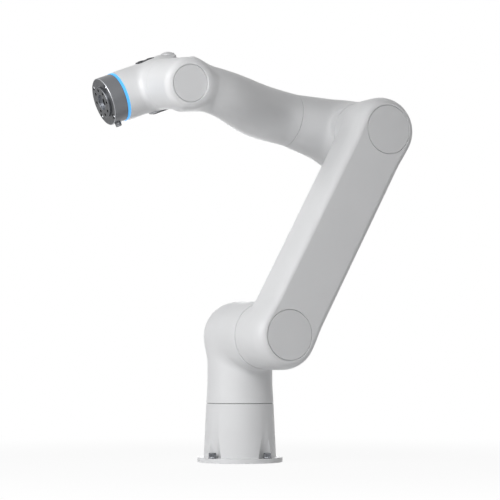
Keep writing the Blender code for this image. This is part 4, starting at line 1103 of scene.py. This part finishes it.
def wrist_housing():
    face = WRIST_OFFSET - SEAM / 2
    pivot = np.array([DRUM_RADIUS + BEND_ROOM, WRIST_RADIUS + BEND_ROOM, 0])
    sideways = planes(0 * Y, Y, Z, -X)
    forward = planes(0 * X, X, Z, -Y)
    bend = list(swing(pivot, Y * pivot[1], X * pivot[0], Z, 2 * SWING_STEPS))
    skin = [section(wrist_shape, plane) for plane in bend]
    front = circle(forward(WRIST_FRONT), WRIST_FRONT_RADIUS)
    outer = lip(sideways, DRUM_RADIUS, face, 1)[::-1] + skin + eased(skin[-1], front, X) + [front]
    bore_floor = WRIST_FRONT - SMALL_DEPTH
    inner = [
        circle(sideways(face), SMALL_SEAT),
        circle(sideways(face - SEAT_DEPTH), SMALL_SEAT),
        circle(forward(bore_floor), SMALL_BORE),
        circle(forward(WRIST_FRONT), SMALL_BORE),
    ]
    wrist = object_of("wrist_casting", shell(outer, inner))
    floor = PAD_BOTTOM - GAP
    for pad, depth, seam in ((PANEL_PAD, 0, GAP), (LID_PAD, LID_SINK, SEAM), (SWITCH_PAD, 0, GAP)):
        cut(wrist, bent_pad(pad, floor - depth, 2 * WALL + depth, -seam))
    dress(wrist, "wrist", "shell_white", "wrist_housing")


def pad_outline():
    """A rounded oblong of size 1, as points about its middle."""
    for i in range(PAD_POINTS):
        angle = 2 * pi * (i + 0.5) / PAD_POINTS
        c, s = cos(angle), sin(angle)
        size = (abs(c) ** PAD_SQUARENESS + abs(s) ** PAD_SQUARENESS) ** (-1 / PAD_SQUARENESS)
        yield c * size / 2, s * size / 2


def bent_pad(pad, bottom, thickness, border=0.0, rounding=0.0, crown=0.0, droop=0.0):
    """An oblong plate bent round the wrist barrel.

    The border is left off it, and droop lowers it towards the back.
    """
    start, end, spread, middle = pad
    outer = bottom + thickness
    length = end - start - 2 * border
    width = 2 * (radians(spread) * outer - border)

    def ring(radius, inset, share=1.0):
        points = []
        for u, v in pad_outline():
            x = (start + end) / 2 + u * (length - 2 * inset) * share
            angle = radians(middle) + v * (width - 2 * inset) * share / outer
            reach = radius - droop * ((LID_PAD[1] - x) / (LID_PAD[1] - LID_PAD[0])) ** 2
            points.append((x, reach * cos(angle), reach * sin(angle)))
        return points

    rings = [ring(bottom, 0.0, share) for share in PAD_UNDER_SHARES] + [ring(bottom, 0.0)]
    inset = 0.0
    for angle in np.linspace(0, pi / 2, ARC) if rounding else [pi / 2]:
        inset = rounding * (1 - cos(angle))
        rings.append(ring(outer - rounding * (1 - sin(angle)), inset))
    rings += [ring(outer + crown * (1 - share * share), inset, share) for share in PAD_TOP_SHARES]
    return solid_of_rings(rings)


def button_panel():
    bm = bent_pad(PANEL_PAD, PAD_BOTTOM, PAD_THICKNESS, rounding=PANEL_ROUNDING)
    pad = object_of("button_pad", bm)
    places = [moved((x, 0, 0)) for x in KEY_PLACES.values()]
    cut(pad, cylinders(places, KEY_RADIUS + GAP, PAD_BOTTOM - WALL, PAD_BOTTOM + WALL, SEGMENTS))
    dress(pad, "wrist", "dark_plastic", "button_panel")


def teach_buttons():
    top = PAD_BOTTOM + PAD_THICKNESS + KEY_RISE
    bottom = PAD_BOTTOM + KEY_TRAVEL + GAP
    corners = [
        (0, bottom, 0), (KEY_RADIUS, bottom, 0), (KEY_RADIUS, top, EDGE),
        (KEY_RADIUS * KEY_RIM_SHARE, top, EDGE), (0, top - KEY_DISH, 0),
    ]
    for name, x in KEY_PLACES.items():
        worn = (name + "_key", "pale_grey", name + "_button", "dark_plastic")
        turned_piece(name + "_key_top", corners, moved((x, 0, 0)), *worn)


def wrist_cover():
    """A lid with a low front part and a dome at its back."""
    bottom = PAD_BOTTOM - LID_SINK
    depth = PAD_THICKNESS + LID_SINK
    lid = object_of("wrist_lid", bent_pad(LID_PAD, bottom, depth, 0.0, LID_ROUNDING, LID_CROWN, LID_DROOP))
    foot = PAD_BOTTOM + PAD_THICKNESS / 2
    height = DOME_HEIGHT + PAD_THICKNESS / 2
    join(lid, bent_pad(DOME_PAD, foot, height, 0.0, DOME_HEIGHT, DOME_CROWN, LID_DROOP))
    dress(lid, "wrist", "pale_grey", "wrist_cover", "lid_grey")


def enable_switch():
    plate = bent_pad(SWITCH_PAD, PAD_BOTTOM, SWITCH_THICKNESS, rounding=SWITCH_ROUNDING)
    bezel = object_of("switch_frame", plate)
    cut(bezel, bent_pad(SWITCH_PAD, PAD_BOTTOM - WALL, 2 * WALL, SWITCH_BORDER))
    dress(bezel, "wrist", "pale_grey", "switch_bezel")
    bottom = PAD_BOTTOM + KEY_TRAVEL + GAP
    key = bent_pad(SWITCH_PAD, bottom, SWITCH_THICKNESS, SWITCH_BORDER + 2 * GAP, PANEL_ROUNDING)
    dress(object_of("switch_key", key), "enable_key", "dark_plastic", "enable_switch")


# Tool end

TOOL_SOCKET = moved((TOOL_SOCKET_PLACE, 0, 0))
TOOL_SOCKET @= turned_by(180 + TOOL_SOCKET_TURN, "X")


def light_ring():
    back = WRIST_FRONT + GAP
    front = back + LIGHT_RING_WIDTH
    corners = [
        (SMALL_BORE, back, 0), (WRIST_FRONT_RADIUS, back, EDGE / 2),
        (WRIST_FRONT_RADIUS, front, EDGE / 2), (SMALL_BORE, front, 0),
    ]
    turned_piece("light_diffuser", corners, ALONG_X, "wrist", "status_light", "light_ring")


def screw_places():
    return [ALONG_X @ place for place in around(FLANGE_SCREWS, SCREW_CIRCLE, 180 / FLANGE_SCREWS)]


def tool_flange():
    back = WRIST_FRONT + LIGHT_RING_WIDTH + SEAM
    rim = TOOL_REACH - FLANGE_RIM_BACK
    floor = rim - GROOVE_DEPTH
    corners = [
        (CABLE_HOLE_RADIUS, back + SEAT_DEPTH, 0), (SMALL_SEAT, back + SEAT_DEPTH, 0),
        (SMALL_SEAT, back, 0), (FLANGE_RADIUS, back, EDGE),
        (FLANGE_RADIUS, rim - RIM_CHAMFER, EDGE / 4),
        (FLANGE_RADIUS - RIM_CHAMFER, rim, EDGE / 4), (GROOVE_RADIUS, rim, GAP),
        (GROOVE_RADIUS, floor, 0), (HUB_RADIUS, floor, 0),
        (HUB_RADIUS, TOOL_REACH, EDGE), (HUB_BORE_RADIUS, TOOL_REACH, EDGE),
        (HUB_BORE_RADIUS, TOOL_REACH - HUB_BORE_DEPTH, 0),
        (CABLE_HOLE_RADIUS, TOOL_REACH - HUB_BORE_DEPTH, EDGE / 2),
    ]
    flange = object_of("tool_flange_body", turned(softened(corners), 2 * SEGMENTS, ALONG_X))
    places = [ALONG_X @ place for place in around(TOOL_HOLES, TOOL_HOLE_CIRCLE)]
    cut(flange, cylinders(places, TOOL_HOLE_RADIUS, TOOL_REACH - TOOL_HOLE_DEPTH, TOOL_REACH + EDGE, FINE))
    screw_floor = rim - COUNTERBORE_DEPTH
    cut(flange, cylinders(screw_places(), COUNTERBORE_RADIUS, screw_floor, TOOL_REACH, FINE))
    room = TOOL_SOCKET_RADIUS + GAP
    cut(flange, cylinder(room, TOOL_SOCKET_FLOOR, TOOL_SOCKET_REACH, FINE, TOOL_SOCKET))
    dress(flange, "tool", "flange_metal", "tool_flange")
    flange_screws(screw_floor)


def flange_screws(floor):
    """Socket-head screws that stand in the counterbores."""
    top = floor + SCREW_HEAD_HEIGHT
    corners = [
        (0, floor + GAP, 0), (SCREW_HEAD_RADIUS, floor + GAP, 0),
        (SCREW_HEAD_RADIUS, top, EDGE / 2), (SCREW_HEAD_RADIUS * SCREW_RIM_SHARE, top, EDGE / 4),
        (SCREW_HEAD_RADIUS / 2, top - EDGE, 0), (0, top - EDGE, 0),
    ]
    for number, place in enumerate(screw_places(), 1):
        turned_piece(f"flange_screw_{number}", corners, place, "tool", "bright_steel", segments=FINE)


def tool_connector():
    """The tool socket, which points down and a little towards the arm's outer side."""
    bottom = TOOL_SOCKET_FLOOR + GAP
    top = TOOL_SOCKET_REACH
    inner = TOOL_SOCKET_RADIUS - 2 * EDGE
    floor = top - 6 * EDGE
    corners = [
        (0, bottom, 0), (TOOL_SOCKET_RADIUS, bottom, 0),
        (TOOL_SOCKET_RADIUS, top - 4 * EDGE, EDGE / 2),
        (TOOL_SOCKET_RADIUS - EDGE / 2, top - 4 * EDGE, EDGE / 4),
        (TOOL_SOCKET_RADIUS - EDGE / 2, top, EDGE / 2), (inner, top, EDGE / 4),
        (inner, floor, 0), (0, floor, 0),
    ]
    turned_piece("tool_socket", corners, TOOL_SOCKET, "tool", "flange_metal", "tool_connector")
    contacts("tool_socket_contacts", "tool", TOOL_SOCKET, floor)


# Joint modules, whose solids keep their shapes


def finish_modules():
    for name, node in frame["nodes"].items():
        for ending, slot in MODULE_SLOTS.items():
            if name.endswith(ending):
                coat(node, slot)
    coat(frame["nodes"]["base_cover"], "pale_grey")


def seals():
    """The lip seals in the six seams, as round as the housings."""
    before = SHOULDER_OFFSET - SEAM / 2
    beyond = SHOULDER_OFFSET + SEAM / 2
    wrist = WRIST_OFFSET + SEAM / 2
    seams = [
        ("base", COLUMN_TOP_RADIUS, LARGE_BORE, moved((0, 0, BASE_HEIGHT))),
        ("turret", ARM_NECK_RADIUS, LARGE_BORE, moved((0, before, SHOULDER_HEIGHT)) @ ALONG_Y),
        ("upper_arm", ARM_NECK_RADIUS, LARGE_BORE, moved((0, beyond, UPPER_ARM_LENGTH)) @ AGAINST_Y),
        ("elbow", FOREARM_RADIUS, SMALL_BORE, moved((FOREARM_START, FOREARM_OFFSET, FOREARM_RISE)) @ ALONG_X),
        ("forearm", DRUM_RADIUS, SMALL_BORE, moved((FOREARM_LENGTH, wrist, 0)) @ AGAINST_Y),
        ("wrist", FLANGE_RADIUS, SMALL_BORE, moved((WRIST_FRONT + LIGHT_RING_WIDTH, 0, 0)) @ ALONG_X),
    ]
    for number, (link, radius, bore, place) in enumerate(seams, 1):
        plain = number in (2, 3, 4, 5)
        lip_radius = radius - (SEAL_INSET if plain else 2 * EDGE)
        inner = max(lip_radius - 4 * EDGE, bore + GAP)
        bottom = GAP if number < 6 else 2 * GAP
        corners = [
            (inner, bottom, 0),
            (lip_radius, bottom, GAP / 2),
            (lip_radius, SEAM - GAP / 2, GAP / 2),
            (inner, SEAM - GAP / 2, 0),
        ]
        worn = (link, "seal_rubber", f"j{number}_seal", "pale_seal" if plain else None)
        turned_piece(f"seal_lip_{number}", corners, place, *worn)


# Stage, light and camera

CAMERA_PLACE = Vector((1.7862, 3.3313, 0.2048))
CAMERA_FORWARD = Vector((-0.4765, -0.8769, 0.0629))
SENSOR_WIDTH = 36.0
FOCAL_PIXELS = 1800.0
IMAGE_SIZE = 500.0
FLOOR_SIZE = 60.0
FLOOR_COLOR = (0.9, 0.9, 0.9, 1.0)
FLOOR_GLOW = 0.93
FLOOR_NEAR = 0.4
FLOOR_FAR = 1.4
AMBIENT = 0.1


def looking(place, towards):
    """A matrix at a place, whose -Z axis points along a direction, with no roll."""
    return moved(place) @ towards.to_track_quat("-Z", "Y").to_matrix().to_4x4()


def add_object(name, data, matrix):
    obj = bpy.data.objects.new(name, data)
    bpy.context.scene.collection.objects.link(obj)
    obj.matrix_world = matrix
    return obj


def make_camera():
    data = bpy.data.cameras.new("camera")
    data.sensor_width = SENSOR_WIDTH
    data.lens = FOCAL_PIXELS / IMAGE_SIZE * SENSOR_WIDTH
    bpy.context.scene.camera = add_object("camera", data, looking(CAMERA_PLACE, CAMERA_FORWARD))


def make_lamp(name, place, size, power):
    data = bpy.data.lights.new(name, "AREA")
    data.shape = "DISK"
    data.size = size
    data.energy = power
    add_object(name, data, looking(Vector(place), LAMP_TARGET - Vector(place)))


def seen_directly(tree):
    """A socket that is 1 for camera, mirror and glass rays, and 0 for the others."""
    path = add_node(tree, "LightPath")
    total = path.outputs["Is Camera Ray"]
    for name in ("Is Glossy Ray", "Is Transmission Ray"):
        total = add_node(tree, "Math", total, path.outputs[name], operation="MAXIMUM").outputs[0]
    return total


# Lamps: place, size and power. All of them point at the middle of the arm.
LAMP_TARGET = Vector((0.0, 0.1, 0.45))
LAMPS = {
    "key": ((2.6, 0.2, 1.2), 1.6, 23.0),
    "upper": ((2.4, 1.6, 1.6), 1.6, 13.5),
    "near": ((1.3, 1.2, 1.1), 0.9, 8.8),
    "fill": ((1.2, 3.4, 2.2), 1.6, 7.2),
    "edge": ((-1.6, 2.6, 1.4), 1.6, 5.5),
    "back": ((-1.8, -3.0, 0.7), 1.8, 17.0),
}


def make_world():
    world = bpy.data.worlds.new("studio")
    world.use_nodes = True
    bpy.context.scene.world = world
    tree = world.node_tree
    background = tree.nodes["Background"]
    background.inputs["Color"].default_value = (1.0, 1.0, 1.0, 1.0)
    strength = add_node(tree, "MapRange", seen_directly(tree), to_min=AMBIENT, to_max=1.0)
    tree.links.new(strength.outputs["Result"], background.inputs["Strength"])


def make_floor():
    """A white sweep: mostly its own glow for the camera, and matt enough to keep the shadow."""
    bm = bmesh.new()
    bmesh.ops.create_grid(bm, size=FLOOR_SIZE / 2)
    floor = object_of("studio_floor", bm)
    floor.location.z = -GAP
    made = bpy.data.materials.new("studio_white")
    made.use_nodes = True
    tree = made.node_tree
    tree.nodes.remove(tree.nodes["Principled BSDF"])
    matt = add_node(tree, "BsdfDiffuse", color=FLOOR_COLOR)
    glow = add_node(tree, "Emission", strength=1.0)
    place = add_node(tree, "TexCoord").outputs["Object"]
    distance = add_node(tree, "VectorMath", place, operation="LENGTH").outputs["Value"]
    ends = {"from_min": FLOOR_NEAR, "from_max": FLOOR_FAR, "to_min": FLOOR_GLOW, "to_max": 1.0}
    fade = add_node(tree, "MapRange", distance, interpolation_type="SMOOTHSTEP", **ends).outputs["Result"]
    share = add_node(tree, "Math", seen_directly(tree), fade, operation="MULTIPLY").outputs[0]
    mix = add_node(tree, "MixShader", share, matt.outputs[0], glow.outputs[0]).outputs[0]
    tree.links.new(mix, tree.nodes["Material Output"].inputs["Surface"])
    floor.data.materials.append(made)


def make_studio():
    make_world()
    make_floor()
    for name, (place, size, power) in LAMPS.items():
        make_lamp(name, place, size, power)
    make_camera()
    bpy.context.scene.view_settings.view_transform = "Standard"


base_housing()
base_bolts()
connector_panel()
turret_housing()
upper_arm_housing()
round_cap("shoulder_cap", "upper_arm", CAP_RADIUS, ARM_OUTER_FACE, (0, 0, 0))
round_cap("elbow_cap", "upper_arm", CAP_RADIUS, ARM_OUTER_FACE, (0, 0, UPPER_ARM_LENGTH))
elbow_housing()
forearm_housing()
round_cap("wrist_cap", "forearm", WRIST_CAP_RADIUS, DRUM_FACE, (FOREARM_LENGTH, 0, 0))
wrist_housing()
button_panel()
teach_buttons()
wrist_cover()
enable_switch()
light_ring()
tool_flange()
tool_connector()
finish_modules()
seals()
make_studio()
